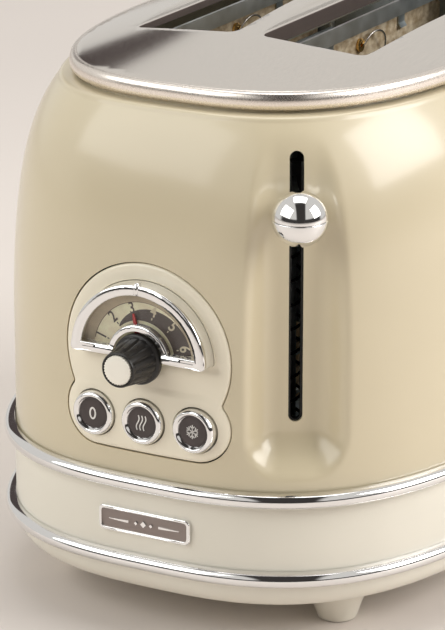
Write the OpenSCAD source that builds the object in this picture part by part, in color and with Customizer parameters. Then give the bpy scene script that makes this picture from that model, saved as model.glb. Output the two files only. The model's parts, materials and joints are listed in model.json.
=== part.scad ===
// Two-slice pop-up toaster with an oval painted body on a plastic base.
// Units are millimetres. +X is to the right and +Y to the rear, seen from the control end, and +Z is up.
// Each module below is one separate piece of the toaster, in its place with the lever up.

/* [Body] */
// Half the width of the painted body
body_a = 93.6; // [92:0.2:95]
// Half the length of the painted body
body_b = 147.6; // [146:0.2:149]
// Squareness of the oval plan, where 2 is an ellipse
plan_power = 2.8; // [2.7:0.05:2.9]
// Height at which the painted body meets the base
shell_bottom = 56.2; // [56:0.1:56.6]
// Height of the painted body's top edge, under the lid
shell_top = 186; // [185.5:0.1:186.5]
// Thickness of the painted steel
shell_wall = 1; // [0.8:0.1:1.2]

/* [Lid] */
// Height of the crown of the lid
lid_crown = 204; // [203:0.5:206]
// Half the width of the lid over its rim
lid_a = 74.4; // [74:0.1:74.8]
// Length of each bread slot
slot_length = 148; // [144:1:150]
// Width of each bread slot
slot_width = 40.3; // [39:0.1:41]
// Distance from the middle of the toaster to the middle of a bread slot
slot_centre = 25.4; // [25:0.1:26]

/* [Base] */
// Height of the feet under the base
foot_height = 14.2; // [13:0.1:15]
// Half the width of the base
base_a = 94; // [93.8:0.1:94.2]
// Height of the middle of the lower trim ring
lower_ring_z = 26.8; // [26:0.1:27.5]
// Height of the middle of the upper trim ring
upper_ring_z = 55.8; // [55.5:0.1:56.5]

/* [Lever] */
// Direction that the lever points, turned to the right from straight ahead
lever_turn = 32; // [30:0.5:34]
// Height of the ball of the lever at rest
lever_z = 156.5; // [155:0.5:158]
// Diameter of the ball of the lever
ball_d = 19; // [18:0.5:20]
// Width of the slot that the lever runs in
lever_slot = 4.9; // [4.6:0.1:5.2]

/* [Controls] */
// Height of the middle of the browning dial
dial_z = 102.7; // [102:0.1:103.5]
// Radius of the chrome frame of the dial
dial_r = 27.4; // [27:0.1:27.6]
// Height of the row of buttons
button_z = 78.9; // [78.5:0.1:79.3]
// Distance between buttons
button_pitch = 19.8; // [19.4:0.1:20]

/* [Hidden] */
$fn = 48;

// Plan of the toaster
length_extra = body_b - body_a;
base_b = base_a + length_extra;
lid_b = lid_a + 52.6;
plan_angles = concat([for (t = [-180:5:-75]) t], [for (t = [-72:1.3:-47]) t], [for (t = [-45:5:175]) t]);
plain_angles = [for (t = [-180:5:175]) t];

// Shoulder of the painted body, a slow curve plus a tight one near the lid
shoulder_z = 100;
shoulder_slow = 8.9;
shoulder_tight = 8.4;
shell_lip = 5.8;
shell_levels = [shell_bottom, 64, 68, 72, 76, 80, 84, 100, 120, 136, 148, 157,
    164, 170, 175, 179.5, 183, shell_top];

// Lid
lid_rim_z = 187;
lid_crease_z = 193.8;
lid_wall = 1;
slot_flange_z = 194.5;
slot_flange_wall = 0.9;
slot_corner = 4;

// Base
base_top = 56;
base_wall = 2.5;
base_floor = foot_height + 2.8;
foot_x = 52;
foot_y = 102;
foot_r = 7.2;
foot_top_r = 12.2;
pad_height = 0.6;
ring_proud = 3.8;
ring_half_height = 2.8;
ring_gap = 0.2;

// Lever channel, measured along the lever's direction from the flat floor of the channel
lever_floor = [47.5, -126.6];
lever_dir = [sin(lever_turn), -cos(lever_turn)];
lever_across = [cos(lever_turn), sin(lever_turn)];
channel_floor = 6;
channel_run = 13.5;
channel_end_z = 78;
channel_end_run = 15;
channel_rise = 14;
channel_lip = 5;
lever_slot_low = 80.3;
lever_slot_high = 176;
ball_out = 13;
arm_thick = 2.6;
arm_height = 9;
seal_slit = 3.4;
rod_back = 31;
rod_r = 2.5;
rod_at = lever_floor - rod_back * lever_dir;

// Carriage and its travel
travel_down = 66;
travel_up = 14;
bush_low = 142;
bush_height = 24;
bush_half = 7;
bracket_y = -93;
bracket_thick = 1.5;
bracket_low = 104;
bracket_high = 134;
magnet_top = 62;
magnet_y = -102;
rack_z = 113;
rack_half = 9.5;
rack_rail = 5;

// Chassis
bulkhead_y = 84;
bulkhead_half = 64;
bulkhead_top = 183;
sheet = 1;
chassis_end = bulkhead_y - sheet / 2 - 0.1;
board_half_y = 82;
board_low = 52;
board_high = 186;
board_x = 52.9;
board_tab = 7;
board_tabs = [board_low + 2, board_high - 12];
guide_offset = 16.5;
guide_pin_low = 56;
guide_pin_high = 176;
guide_rail_low = 187;
guide_rail_high = 193;
eyelet_z = 178;
eyelet_y = [-45, 13];
guide_in = 6;
guide_out = 1.3;

// Crumb tray
tray_half = 49;
tray_low = 34;
tray_high = 40.5;
tray_door_low = 32.6;
tray_door_high = 46.4;

// Controls
fascia_r = 32.3;
button_lobe = 12.5;
lobe_z = button_z + 0.7;
button_r = 8;
button_well = 8.7;
fascia_proud = 0.4;
fascia_thick = 2.5;
face_y = -(body_b + fascia_proud);
bezel_front = face_y - 5.2;
bezel_base = -0.4;
window_r = 22.5;
window_base = 3.2;
pocket_r = 24.8;
pocket_base = 0.4;
hub_ring_r = 12.1;
hub_ring_bore = 9.5;
needle_tip = 15.4;
needle_turn = 12;
pointer_hub = 5;
knob_back = face_y - 3;
knob_front = -166;
guide_y = -139.4;
board_y = -129;
shaft_r = 3;

// The toaster sits with the middle of its footprint, knob included, at the origin
rear_y = base_b + ring_proud;
shift_y = -(knob_front + rear_y) / 2;

// ---------------------------------------------------------------- shapes

// Point of the oval plan at angle t, for half sizes a and b
function plan(t, a, b) =
    let (s = pow(pow(abs(cos(t)), plan_power) + pow(abs(sin(t)), plan_power), -1 / plan_power))
    [a * s * cos(t), b * s * sin(t)];

// Angle from +Y, towards -X, of the outward normal of the base at plan angle t
function plan_normal(t) =
    let (p = plan(t, base_a, base_b))
    atan2(-sign(p.x) * pow(abs(p.x), plan_power - 1) / pow(base_a, plan_power),
          pow(abs(p.y), plan_power - 1) / pow(base_b, plan_power));

function ring(angles, a, b, z) = [for (t = angles) let (p = plan(t, a, b)) [p.x, p.y, z]];

// How far the body has drawn in at height z
function shoulder(z) =
    let (u = max(0, (z - shoulder_z) / (shell_top - shoulder_z)))
    shoulder_slow * u * u + shoulder_tight * pow(u, 6);

// The lesser of a and b, rounded over a width k where they cross
function soft_min(a, b, k) =
    let (h = max(0, k - abs(a - b)))
    min(a, b) - h * h / (4 * k);

// Height of the channel's surface over its floor, at q across it, for the skin w deep in the wall
function channel(q, z, w) =
    let (e = norm([max(0, abs(q) - channel_floor - w) / channel_run,
                   max(0, channel_end_z - w - z) / channel_end_run]))
    channel_rise * e * e - w;

// Point of the painted shell at plan angle t and height z, w deep in the wall
function shell_point(t, z, w) =
    let (i = shoulder(z) + w,
         p = plan(t, body_a - i, body_b - i),
         q = (p - lever_floor) * lever_across,
         m = (p - lever_floor) * lever_dir,
         moved = p + (soft_min(m, channel(q, z, w), channel_lip) - m) * lever_dir)
    [moved.x, moved.y, z];

function shell_ring(z, w) = [for (t = plan_angles) shell_point(t, z, w)];

// Y of the body's front, off millimetres outside it, at x and height z
function front_y(x, z, off) =
    let (i = shoulder(z) - off)
    -(body_b - i) * pow(1 - pow(abs(x) / (body_a - i), plan_power), 1 / plan_power);

// Sides between ring after ring of points, as triangles that face outwards
function side_faces(n, m, closed) =
    [for (j = [0:m - (closed ? 1 : 2)], i = [0:n - 1], k = [0, 1])
        let (r0 = j * n, r1 = ((j + 1) % m) * n, i1 = (i + 1) % n)
        k == 0 ? [r0 + i, r1 + i, r1 + i1] : [r0 + i, r1 + i1, r0 + i1]];

// Solid whose skin passes through the rings and returns to the first one
module loop_loft(rings) {
    polyhedron([for (r = rings) each r], side_faces(len(rings[0]), len(rings), true), convexity = 8);
}

// Solid whose skin passes through the rings, with a flat cap on the first and the last
module capped_loft(rings) {
    n = len(rings[0]);
    m = len(rings);
    caps = [[for (i = [0:n - 1]) i], [for (i = [n - 1:-1:0]) (m - 1) * n + i]];
    polyhedron([for (r = rings) each r], concat(side_faces(n, m, false), caps), convexity = 8);
}

// Slab that follows the front of the body, between two distances from it
module front_patch(half, low, high, inner, outer) {
    columns = 16;
    rows = 6;
    function at(i, j, off) =
        let (x = -half + 2 * half * i / columns, z = low + (high - low) * j / rows)
        [x, front_y(x, z, off), z];
    function row(j) = concat([for (i = [0:columns]) at(i, j, outer)],
                             [for (i = [columns:-1:0]) at(i, j, inner)]);
    capped_loft([for (j = [0:rows]) row(j)]);
}

// A flat outline in X and Z, made solid from y0 towards the rear
module upright(y0, depth) {
    translate([0, y0 + depth, 0]) rotate([90, 0, 0]) linear_extrude(depth) children();
}

// A box between two corners
module block(low, high) {
    translate(low) cube(high - low);
}

// A cylinder that runs along Y from y0 to y1
module along_y(x, z, r, y0, y1) {
    translate([x, y0, z]) rotate([-90, 0, 0]) cylinder(r = r, h = y1 - y0);
}

module rounded_rect(w, h, r) {
    square([w - 2 * r, h], center = true);
    square([w, h - 2 * r], center = true);
    for (x = [-1, 1], y = [-1, 1]) translate([x * (w / 2 - r), y * (h / 2 - r)]) circle(r);
}

// The frame of the lever: X runs across the channel and -Y points out of it
module lever_frame() {
    translate([lever_floor.x, lever_floor.y, 0]) rotate([0, 0, lever_turn]) children();
}

// ---------------------------------------------------------------- outside

module fascia_outline(grow) {
    translate([0, dial_z]) circle(fascia_r + grow);
    for (x = [-1, 1]) translate([x * button_pitch, lobe_z]) circle(button_lobe + grow);
    translate([0, lobe_z]) square([2 * button_pitch, 2 * (button_lobe + grow)], center = true);
}

module lever_slot_outline(width, low, high) {
    r = width / 2;
    translate([-r, low + r]) square([width, high - low - width]);
    for (z = [low + r, high - r]) translate([0, z]) circle(r);
}

module outer_shell() {
    top_i = shoulder(shell_top) + shell_lip;
    outer = [for (z = shell_levels) shell_ring(z, 0)];
    lip = [for (z = [shell_top + 0.4, shell_top - shell_wall + 0.4])
        ring(plan_angles, body_a - top_i, body_b - top_i, z)];
    inner = [for (k = [len(shell_levels) - 1:-1:0])
        let (z = shell_levels[k]) shell_ring(z == shell_top ? z - shell_wall : z, shell_wall)];
    color("khaki") difference() {
        loop_loft(concat(outer, lip, inner));
        upright(-160, 40) fascia_outline(0.4);
        lever_frame() upright(-6, 12) lever_slot_outline(lever_slot, lever_slot_low, lever_slot_high);
    }
}

function dome(s, drop) = lid_crown - (lid_crown - lid_crease_z) * s * s - drop;

module bread_slots(grow, low) {
    for (x = [-1, 1])
        translate([x * slot_centre, 0, low]) linear_extrude(30)
            rounded_rect(slot_width + 2 * grow, slot_length + 2 * grow, slot_corner + grow);
}

module top_lid() {
    steps = [1, 0.88, 0.74, 0.58, 0.4, 0.2, 0.04];
    rim = [[1.0, lid_rim_z], [0, lid_rim_z + 0.9], [0.1, lid_rim_z + 4.6], [1.0, lid_crease_z - 0.5],
           [2.2, lid_crease_z - 0.1]];
    in_a = lid_a - 2.6;
    in_b = lid_b - 2.6;
    color("silver") difference() {
        capped_loft(concat(
            [for (p = rim) ring(plain_angles, lid_a - p[0], lid_b - p[0], p[1])],
            [for (s = steps) ring(plain_angles, in_a * s, in_b * s, dome(s, 0))]));
        difference() {
            capped_loft(concat(
                [ring(plain_angles, lid_a - 1.9, lid_b - 1.9, lid_rim_z - 1),
                 ring(plain_angles, lid_a - 1.9, lid_b - 1.9, lid_crease_z - 1.6)],
                [for (s = steps) ring(plain_angles, in_a * s * 0.985, in_b * s * 0.985,
                     dome(s, lid_wall))]));
            bread_slots(slot_flange_wall, slot_flange_z);
        }
        bread_slots(0, 180);
    }
}

module trim_ring(z) {
    inner_a = base_a + ring_gap;
    inner_b = base_b + ring_gap;
    reach = ring_proud - ring_gap;
    section = [for (t = [-90:22.5:90]) [reach * pow(cos(t), 0.8), ring_half_height * sin(t)]];
    loop_loft([for (p = section) ring(plain_angles, inner_a + p[0], inner_b + p[0], z + p[1])]);
}

module upper_trim_ring() color("lightgray") trim_ring(upper_ring_z);
module lower_trim_ring() color("lightgray") trim_ring(lower_ring_z);

gland_angle = 128;
gland_z = 41.5;
gland_hole_r = 6.5;
gland_bore_r = 3.7;

// Frame of the cord gland: its +Z points out of the base, square to the wall
module gland_frame() {
    p = plan(gland_angle, base_a, base_b);
    translate([p.x, p.y, gland_z]) rotate([0, 0, plan_normal(gland_angle)]) rotate([-90, 0, 0]) children();
}

screw_x = 44;
screw_y = 92;

module base_housing() {
    skirt = [[foot_height, -8.6], [foot_height + 0.5, -7.3], [foot_height + 3.4, -4.2],
             [foot_height + 6.4, -1.6], [lower_ring_z - 3, -0.3], [lower_ring_z, 0], [base_top, 0]];
    tub = [[base_top, -base_wall], [lower_ring_z, -base_wall], [base_floor, -base_wall - 6]];
    color("ivory") difference() {
        capped_loft([for (p = concat(skirt, tub)) ring(plain_angles, base_a + p[1], base_b + p[1], p[0])]);
        block([-tray_half - 1.5, 100, tray_door_low], [tray_half + 1.5, 170, tray_door_high]);
        gland_frame() translate([0, 0, -12]) cylinder(r = gland_hole_r + 0.1, h = 24);
        for (x = [-1, 1], y = [-1, 1]) {
            translate([x * foot_x, y * foot_y, 0]) cylinder(r = 4.1, h = 30);
            translate([x * screw_x * 0.5, y * screw_y, 0]) cylinder(r = 2.1, h = 30);
        }
    }
}

module foot() {
    rotate_extrude() polygon(concat(
        [[0, pad_height + 0.01], [foot_r - 1.6, pad_height + 0.01]],
        [for (t = [-60:30:0]) [foot_r - 1.2 + 1.2 * cos(t), pad_height + 1.4 + 1.2 * sin(t)]],
        [[foot_top_r, foot_height - 0.05], [4, foot_height - 0.05], [4, base_floor + 1],
         [0, base_floor + 1]]));
}

module feet() {
    color("ivory") for (x = [-1, 1], y = [-1, 1]) translate([x * foot_x, y * foot_y, 0]) foot();
}

module foot_pads() {
    color("dimgray") for (x = [-1, 1], y = [-1, 1])
        translate([x * foot_x, y * foot_y, 0]) cylinder(r = foot_r - 1.7, h = pad_height);
}

badge_z = 41;
badge_w = 36.4;
badge_h = 9.2;

module badge_plate() {
    stand_off = base_a - body_a + 0.05;
    color("silver") difference() {
        intersection() {
            front_patch(20, badge_z - 6, badge_z + 6, stand_off, stand_off + 1.5);
            upright(-160, 40) translate([0, badge_z]) rounded_rect(badge_w, badge_h, 2);
        }
        difference() {
            front_patch(19, badge_z - 5, badge_z + 5, stand_off + 0.9, stand_off + 4);
            upright(-160, 40) difference() {
                translate([0, badge_z]) square([60, 20], center = true);
                translate([0, badge_z]) rounded_rect(badge_w - 2, badge_h - 2, 1.3);
            }
        }
    }
}

// ---------------------------------------------------------------- dial and buttons

// Half disc above the dial's base line
module half_moon(r, base) {
    intersection() {
        translate([0, dial_z]) circle(r);
        translate([-r, dial_z + base]) square([2 * r, r + 2]);
    }
}

module control_fascia() {
    color("cornsilk") difference() {
        intersection() {
            front_patch(36, 64, 138, fascia_proud - fascia_thick, fascia_proud);
            upright(-160, 40) fascia_outline(0);
        }
        upright(-160, 40) half_moon(dial_r + 0.2, bezel_base - 0.2);
        along_y(0, dial_z, 9.7, -160, -120);
        for (x = [-1, 0, 1]) along_y(x * button_pitch, button_z, button_well, -160, -120);
    }
}

module window_outline(grow) {
    difference() {
        half_moon(window_r + grow, window_base - grow);
        translate([0, dial_z]) circle(hub_ring_r - grow);
    }
}

// Chrome frame, open behind, where the scale plate and the pointer lie
module dial_bezel() {
    back = face_y + 3;
    ridge_low = dial_z + window_r + 0.6;
    color("lightgray") {
        difference() {
            upright(bezel_front, back - bezel_front) difference() {
                half_moon(dial_r, bezel_base);
                window_outline(0);
                translate([0, dial_z]) circle(hub_ring_bore);
            }
            upright(bezel_front - 1, 2) half_moon(window_r - 0.2, window_base + 1);
            upright(face_y - 1.8, 10) half_moon(pocket_r, pocket_base);
        }
        block([-0.9, bezel_front - 0.5, ridge_low], [0.9, bezel_front + 0.4, dial_z + dial_r - 0.6]);
    }
}

module dial_lens() {
    color("lightcyan", 0.4) upright(face_y - 2.9, 0.8) window_outline(-0.1);
}

module dial_plate() {
    color("wheat") upright(face_y - 0.4, 1) difference() {
        half_moon(pocket_r - 0.3, pocket_base + 0.3);
        translate([0, dial_z]) circle(7.5);
    }
}

module dial_pointer() {
    color("crimson") upright(face_y - 1.5, 0.6)
        translate([0, dial_z]) rotate([0, 0, needle_turn]) difference() {
        union() {
            circle(pointer_hub);
            polygon([[-0.9, 4], [0.9, 4], [0.4, needle_tip], [-0.4, needle_tip]]);
        }
        circle(shaft_r);
    }
}

// Knob along -Y from the origin, with its flutes
module knob_body(length) {
    flutes = 16;
    difference() {
        union() {
            cylinder(r = 9, h = 2);
            translate([0, 0, 1.9]) cylinder(r1 = 8.1, r2 = 6.3, h = length - 1.9);
        }
        for (i = [0:flutes - 1]) rotate([0, 0, (i + 0.5) * 360 / flutes])
            translate([8.9, 0, 2.6]) rotate([0, -6.5, 0]) cylinder(r = 1.2, h = length);
        translate([0, 0, length - 0.8]) cylinder(r = 5.5, h = 2);
        translate([0, 0, -1]) cylinder(r = shaft_r, h = length - 2.2);
    }
}

module browning_knob() {
    color("black") translate([0, knob_back, dial_z]) rotate([90, 0, 0])
        knob_body(knob_back - knob_front - 0.3);
}

module knob_cap() {
    color("cornsilk") along_y(0, dial_z, 5.4, knob_front, knob_front + 1.1);
}

module knob_shaft() {
    color("gray") along_y(0, dial_z, shaft_r, knob_front + 3.5, board_y - 5.5);
}

module browning_pot() {
    color("darkslategray") difference() {
        union() {
            along_y(0, dial_z, 8.5, board_y - 7, board_y - 0.1);
            along_y(0, dial_z, 4.6, board_y - 13, board_y - 6);
        }
        along_y(0, dial_z, shaft_r + 0.08, board_y - 14, board_y - 5);
    }
}

stem_r = 2.8;
stem_end = -134;
cap_r = 5.6;

// Y of the crest of the button at x
function crest(x) = front_y(x, button_z, fascia_proud) - 3;

module button_shell(x) {
    y0 = crest(x);
    color("lightgray") difference() {
        union() {
            translate([x, y0, button_z]) rotate([-90, 0, 0]) rotate_extrude() polygon(concat(
                [[0, 1.6], [cap_r + 0.1, 1.6]],
                [for (t = [180:-30:0]) [cap_r + 1.3 + 1.1 * cos(t), 1.1 - 1.1 * sin(t)]],
                [[button_r, 7.1], [button_r + 1.3, 7.1], [button_r + 1.3, 7.8], [0, 7.8]]));
            along_y(x, button_z, stem_r, y0 + 7, stem_end);
        }
        along_y(x, button_z, 1, y0 - 1, y0 + 4);
    }
}

module button_cap(x) {
    y0 = crest(x);
    color("dimgray") {
        along_y(x, button_z, cap_r - 0.05, y0 + 0.7, y0 + 1.55);
        along_y(x, button_z, 0.95, y0 + 1.5, y0 + 3.8);
    }
}

module cancel_button() button_shell(-button_pitch);
module reheat_button() button_shell(0);
module defrost_button() button_shell(button_pitch);
module cancel_cap() button_cap(-button_pitch);
module reheat_cap() button_cap(0);
module defrost_cap() button_cap(button_pitch);

module button_guide() {
    color("dimgray") difference() {
        union() {
            block([-29, guide_y, 66], [29, guide_y + 1.6, 94]);
            for (x = [-1, 1], z = [70, 90]) along_y(x * 26, z, 2.6, guide_y + 0.4, board_y - 0.1);
            for (x = [-1, 1], p = [[9.9, 69.5], [22, 91.6]])
                along_y(x * p.x, p.y, 1.5, front_y(p.x, p.y, fascia_proud - fascia_thick) + 0.15,
                    guide_y + 1);
        }
        for (x = [-1, 0, 1]) along_y(x * button_pitch, button_z, stem_r + 0.1, -150, -120);
    }
}

module control_board() {
    color("darkgreen") block([-29, board_y, 64], [29, board_y + 1.6, 138]);
}

module tact_switches() {
    color("black") for (x = [-1, 0, 1]) {
        block([x * button_pitch - 3, board_y - 1.9, button_z - 3],
              [x * button_pitch + 3, board_y - 0.05, button_z + 3]);
        along_y(x * button_pitch, button_z, 1.6, board_y - 2.7, board_y - 1.8);
    }
}

module relay() {
    color("midnightblue") block([-26, board_y + 1.7, 96], [-8, board_y + 14, 112]);
}

// ---------------------------------------------------------------- lever and carriage

module half_ball(side) {
    difference() {
        sphere(ball_d / 2);
        translate([-20, -20, side > 0 ? -40 + 0.04 : -0.04]) cube(40);
        block([-arm_thick / 2, 0, -arm_height / 2], [arm_thick / 2, 20, arm_height / 2]);
    }
}

module at_ball() lever_frame() translate([0, -ball_out, lever_z]) children();

module lever_knob_upper() color("lightgray") at_ball() half_ball(1);
module lever_knob_lower() color("lightgray") at_ball() half_ball(-1);

module lever_arm() {
    color("gray") lever_frame() block(
        [-arm_thick / 2, -ball_out + 0.1, lever_z - arm_height / 2],
        [arm_thick / 2, rod_back - bush_half - 0.1, lever_z + arm_height / 2]);
}

module slot_seal() {
    color("black") lever_frame() difference() {
        union() {
            block([-8, 1.2, lever_slot_low - 5], [8, 3.6, 158]);
            block([-8, 2.4, 157], [8, 3.6, lever_slot_high - 4]);
        }
        upright(-1, 6) lever_slot_outline(seal_slit, lever_slot_low + 0.5, lever_slot_high - 0.2);
    }
}

module carriage_bush() {
    color("slategray") difference() {
        lever_frame() block([-bush_half, rod_back - bush_half, bush_low],
                            [bush_half, rod_back + 3.2, bush_low + bush_height]);
        translate([rod_at.x, rod_at.y, 0]) cylinder(r = rod_r + 0.06, h = 200);
        block([0, bracket_y - 0.05, 0], [60, -60, 200]);
    }
}

module carriage_bracket() {
    color("silver") difference() {
        union() {
            block([-31, bracket_y, bracket_low], [34, bracket_y + bracket_thick, bracket_high]);
            block([22, bracket_y, bracket_low], [34, bracket_y + bracket_thick, bush_low + bush_height]);
        }
        for (x = [-1, 1]) along_y(x * 15, 118, 3, -100, -80);
    }
}

module keeper_plate() {
    z = magnet_top + 0.3 + travel_down;
    color("gray") block([-14, magnet_y - 6, z], [14, bracket_y - 0.05, z + 3]);
}

module bread_rack(x) {
    wires = 9;
    color("silver") {
        block([x - 0.75, bracket_y + bracket_thick + 0.05, rack_z - rack_rail],
              [x + 0.75, bulkhead_y + 4, rack_z]);
        for (i = [0:wires - 1])
            translate([x - rack_half, -64 + 16 * i, rack_z]) rotate([0, 90, 0])
                cylinder(r = 1, h = 2 * rack_half, $fn = 24);
    }
}

module bread_rack_left() bread_rack(-slot_centre);
module bread_rack_right() bread_rack(slot_centre);

module guide_rod() {
    color("lightgray") translate([rod_at.x, rod_at.y, base_floor + 0.1]) cylinder(r = rod_r, h = 166);
}

module return_spring() {
    turns = 14;
    steps = 12;
    sides = 6;
    wire = 0.55;
    coil = 4.5;
    low = base_floor + 0.8;
    high = bush_low - 0.7;
    function centre(k) = let (t = 360 * k / steps)
        [coil * cos(t), coil * sin(t), low + (high - low) * k / (turns * steps)];
    function loop(k) = let (t = 360 * k / steps, c = centre(k))
        [for (i = [0:sides - 1]) let (s = -360 * i / sides)
            c + wire * [cos(s) * cos(t), cos(s) * sin(t), sin(s)]];
    color("gray") translate([rod_at.x, rod_at.y, 0]) capped_loft([for (k = [0:turns * steps]) loop(k)]);
}

module magnet_core() {
    color("gray") {
        block([-14, magnet_y - 6, magnet_top - 30], [14, -bulkhead_y - 0.6, magnet_top - 26]);
        for (x = [-11.5, 0, 11.5])
            block([x - 2.5, magnet_y - 3, magnet_top - 26.5], [x + 2.5, magnet_y + 3, magnet_top]);
    }
}

module magnet_coil() {
    color("peru") translate([0, magnet_y, magnet_top - 25]) difference() {
        cylinder(r = 7.6, h = 20);
        translate([0, 0, -1]) cylinder(r = 4.2, h = 22);
    }
}

// ---------------------------------------------------------------- chassis and heating

module guide_slots() {
    for (side = [-1, 1], way = [-1, 1], z = [guide_pin_low, guide_pin_high]) {
        x = side * slot_centre + way * guide_offset;
        inner = x - way * (guide_in + 1.8);
        outer = x + way * (guide_out + 1.8);
        translate([min(inner, outer), z - 1.5]) square([guide_in + guide_out + 3.6, 3]);
    }
}

module bulkhead_sheet(window) {
    difference() {
        translate([-bulkhead_half, base_floor + 0.1])
            square([2 * bulkhead_half, bulkhead_top - base_floor - 0.1]);
        for (x = [-1, 1]) translate([x * slot_centre - 1.7, rack_z - rack_rail - travel_down - 1.5])
            square([3.4, rack_rail + travel_down + travel_up + 4]);
        for (x = [-board_x, 0, board_x], z = board_tabs)
            translate([x - 0.7, z - 0.2]) square([1.4, board_tab + 0.4]);
        guide_slots();
        if (window) translate([-tray_half - 3, tray_low - 3])
            square([2 * tray_half + 6, tray_door_high - tray_low + 5]);
    }
}

module foot_flange(side) {
    y0 = side < 0 ? -bulkhead_y - 14 : bulkhead_y + sheet / 2;
    difference() {
        block([-bulkhead_half + 4, y0, base_floor + 0.1],
              [bulkhead_half - 4, y0 + 14 - sheet / 2, base_floor + 1.1]);
        for (x = [-1, 1]) translate([x * screw_x * 0.5, side * screw_y, 0]) cylinder(r = 2.1, h = 60);
        translate([rod_at.x, rod_at.y, 0]) cylinder(r = 7, h = 60);
    }
}

module front_bulkhead() {
    color("silver") {
        upright(-bulkhead_y - sheet / 2, sheet) bulkhead_sheet(false);
        foot_flange(-1);
        difference() {
            block([rod_at.x - 8, rod_at.y - 8, bulkhead_top - 2],
                  [rod_at.x + 8, -bulkhead_y, bulkhead_top - 1]);
            translate([rod_at.x, rod_at.y, 0]) cylinder(r = rod_r + 0.08, h = 200);
        }
    }
}

module rear_bulkhead() {
    color("silver") {
        upright(bulkhead_y - sheet / 2, sheet) bulkhead_sheet(true);
        foot_flange(1);
    }
}

module heat_shield(side) {
    color("gainsboro") block([side * 61.4 - 0.4, -chassis_end, 50], [side * 61.4 + 0.4, chassis_end, 182]);
}

module left_heat_shield() heat_shield(-1);
module right_heat_shield() heat_shield(1);

module element_board(x) {
    color("tan") difference() {
        union() {
            block([x - 0.5, -board_half_y, board_low], [x + 0.5, board_half_y, board_high]);
            for (z = board_tabs)
                block([x - 0.5, -bulkhead_y - 2, z], [x + 0.5, bulkhead_y + 2, z + board_tab]);
        }
        for (y = eyelet_y) translate([x - 5, y, eyelet_z]) rotate([0, 90, 0]) cylinder(r = 1.6, h = 10);
    }
}

module left_element_board() element_board(-board_x);
module centre_element_board() element_board(0);
module right_element_board() element_board(board_x);

module heating_elements() {
    turns = 12;
    tape = 0.25;
    pitch = 9.6;
    color("darkgray") for (x = [-board_x, 0, board_x], i = [0:turns - 1])
        translate([x, 0, board_low + 14 + pitch * i]) difference() {
            cube([1.1 + 2 * tape, 2 * board_half_y + 0.1 + 2 * tape, 1.6], center = true);
            cube([1.1, 2 * board_half_y + 0.1, 5], center = true);
        }
}

module terminal_eyelets() {
    color("gold") for (x = [-board_x, 0, board_x], y = eyelet_y)
        translate([x, y, eyelet_z]) rotate([0, 90, 0]) difference() {
            union() {
                cylinder(r = 1.55, h = 3.4, center = true);
                for (s = [-1, 1]) translate([0, 0, s * 1.15]) cylinder(r = 2.6, h = 1, center = true);
            }
            cylinder(r = 0.9, h = 6, center = true);
        }
}

// Wire guide that holds a slice upright, way = 1 on the +X side of its slot
module guide_grille(side, way) {
    x = side * slot_centre + way * guide_offset;
    wires = 8;
    color("silver") {
        block([x - 0.6, -78, guide_rail_low], [x + 0.6, 78, guide_rail_high]);
        block([x - 0.6, -78, guide_pin_low - 5], [x + 0.6, 78, guide_pin_low - 2]);
        for (y = [-74, 74])
            translate([x, y, guide_pin_low - 4])
                cylinder(r = 1, h = guide_rail_low - guide_pin_low + 5, $fn = 24);
        for (i = [0:wires - 1]) along_y(x, 62 + 15 * i, 1, -74, 74);
        for (z = [guide_pin_low, guide_pin_high], s = [-1, 1])
            along_y(x, z, 1, s < 0 ? -bulkhead_y - 4 : 71.5, s < 0 ? -71.5 : bulkhead_y + 4);
    }
}

module guide_left_outer() guide_grille(-1, -1);
module guide_left_inner() guide_grille(-1, 1);
module guide_right_inner() guide_grille(1, -1);
module guide_right_outer() guide_grille(1, 1);

// ---------------------------------------------------------------- crumb tray and base parts

tray_front = -80;
tray_back = 126;

module crumb_tray() {
    color("silver") difference() {
        block([-tray_half, tray_front, tray_low], [tray_half, tray_back, tray_high]);
        block([-tray_half + 1, tray_front + 1, tray_low + 1],
              [tray_half - 1, tray_back - 1, tray_high + 5]);
    }
}

// Door of the tray, cut to the curve of the base, with a finger lip along its top
module tray_handle() {
    arc = [for (t = [54:4:126]) t];
    function edge(off) = [for (t = arc) plan(t, base_a + off, base_b + off)];
    module bow(low, high, outer, inner) {
        intersection() {
            translate([0, 0, low]) linear_extrude(high - low)
                polygon(concat(edge(outer), [for (k = [len(arc) - 1:-1:0]) edge(inner)[k]]));
            block([-tray_half - 1, 100, low - 1], [tray_half + 1, 170, high + 1]);
        }
    }
    color("ivory") {
        bow(tray_door_low + 0.5, tray_door_high - 0.5, 0, -base_wall);
        bow(tray_door_high - 3, tray_door_high - 0.5, 2.4, -1);
        block([-20, tray_back + 0.05, tray_low + 0.5], [20, base_b - base_wall + 0.2, tray_high - 1]);
    }
}

module tray_rails() {
    color("silver") for (s = [-1, 1]) {
        block([s * 49.25 - 3.25, -chassis_end, tray_low - 1.4],
              [s * 49.25 + 3.25, chassis_end, tray_low - 0.4]);
        block([s * 52 - 0.5, -chassis_end, tray_low - 0.5], [s * 52 + 0.5, chassis_end, tray_high]);
    }
}

module terminal_block() {
    color("white") difference() {
        block([-42, 102, base_floor + 0.1], [-22, 118, base_floor + 13]);
        for (x = [-37, -27]) translate([x, 110, base_floor + 5]) cylinder(r = 2, h = 20);
    }
}

module cord_gland() {
    color("dimgray") gland_frame() difference() {
        union() {
            translate([0, 0, 0.3]) cylinder(r1 = 8.6, r2 = 6.8, h = 3.2);
            translate([0, 0, -5]) cylinder(r = gland_hole_r, h = 6);
            translate([0, 0, -7]) cylinder(r = 8, h = 2.4);
        }
        translate([0, 0, -10]) cylinder(r = gland_bore_r, h = 20);
    }
}

module base_screws() {
    color("gray") for (x = [-1, 1], y = [-1, 1]) translate([x * screw_x * 0.5, y * screw_y, foot_height]) {
        translate([0, 0, -1.6]) cylinder(r = 3.6, h = 1.55);
        translate([0, 0, -0.1]) cylinder(r = 1.9, h = 9);
    }
}

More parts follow.
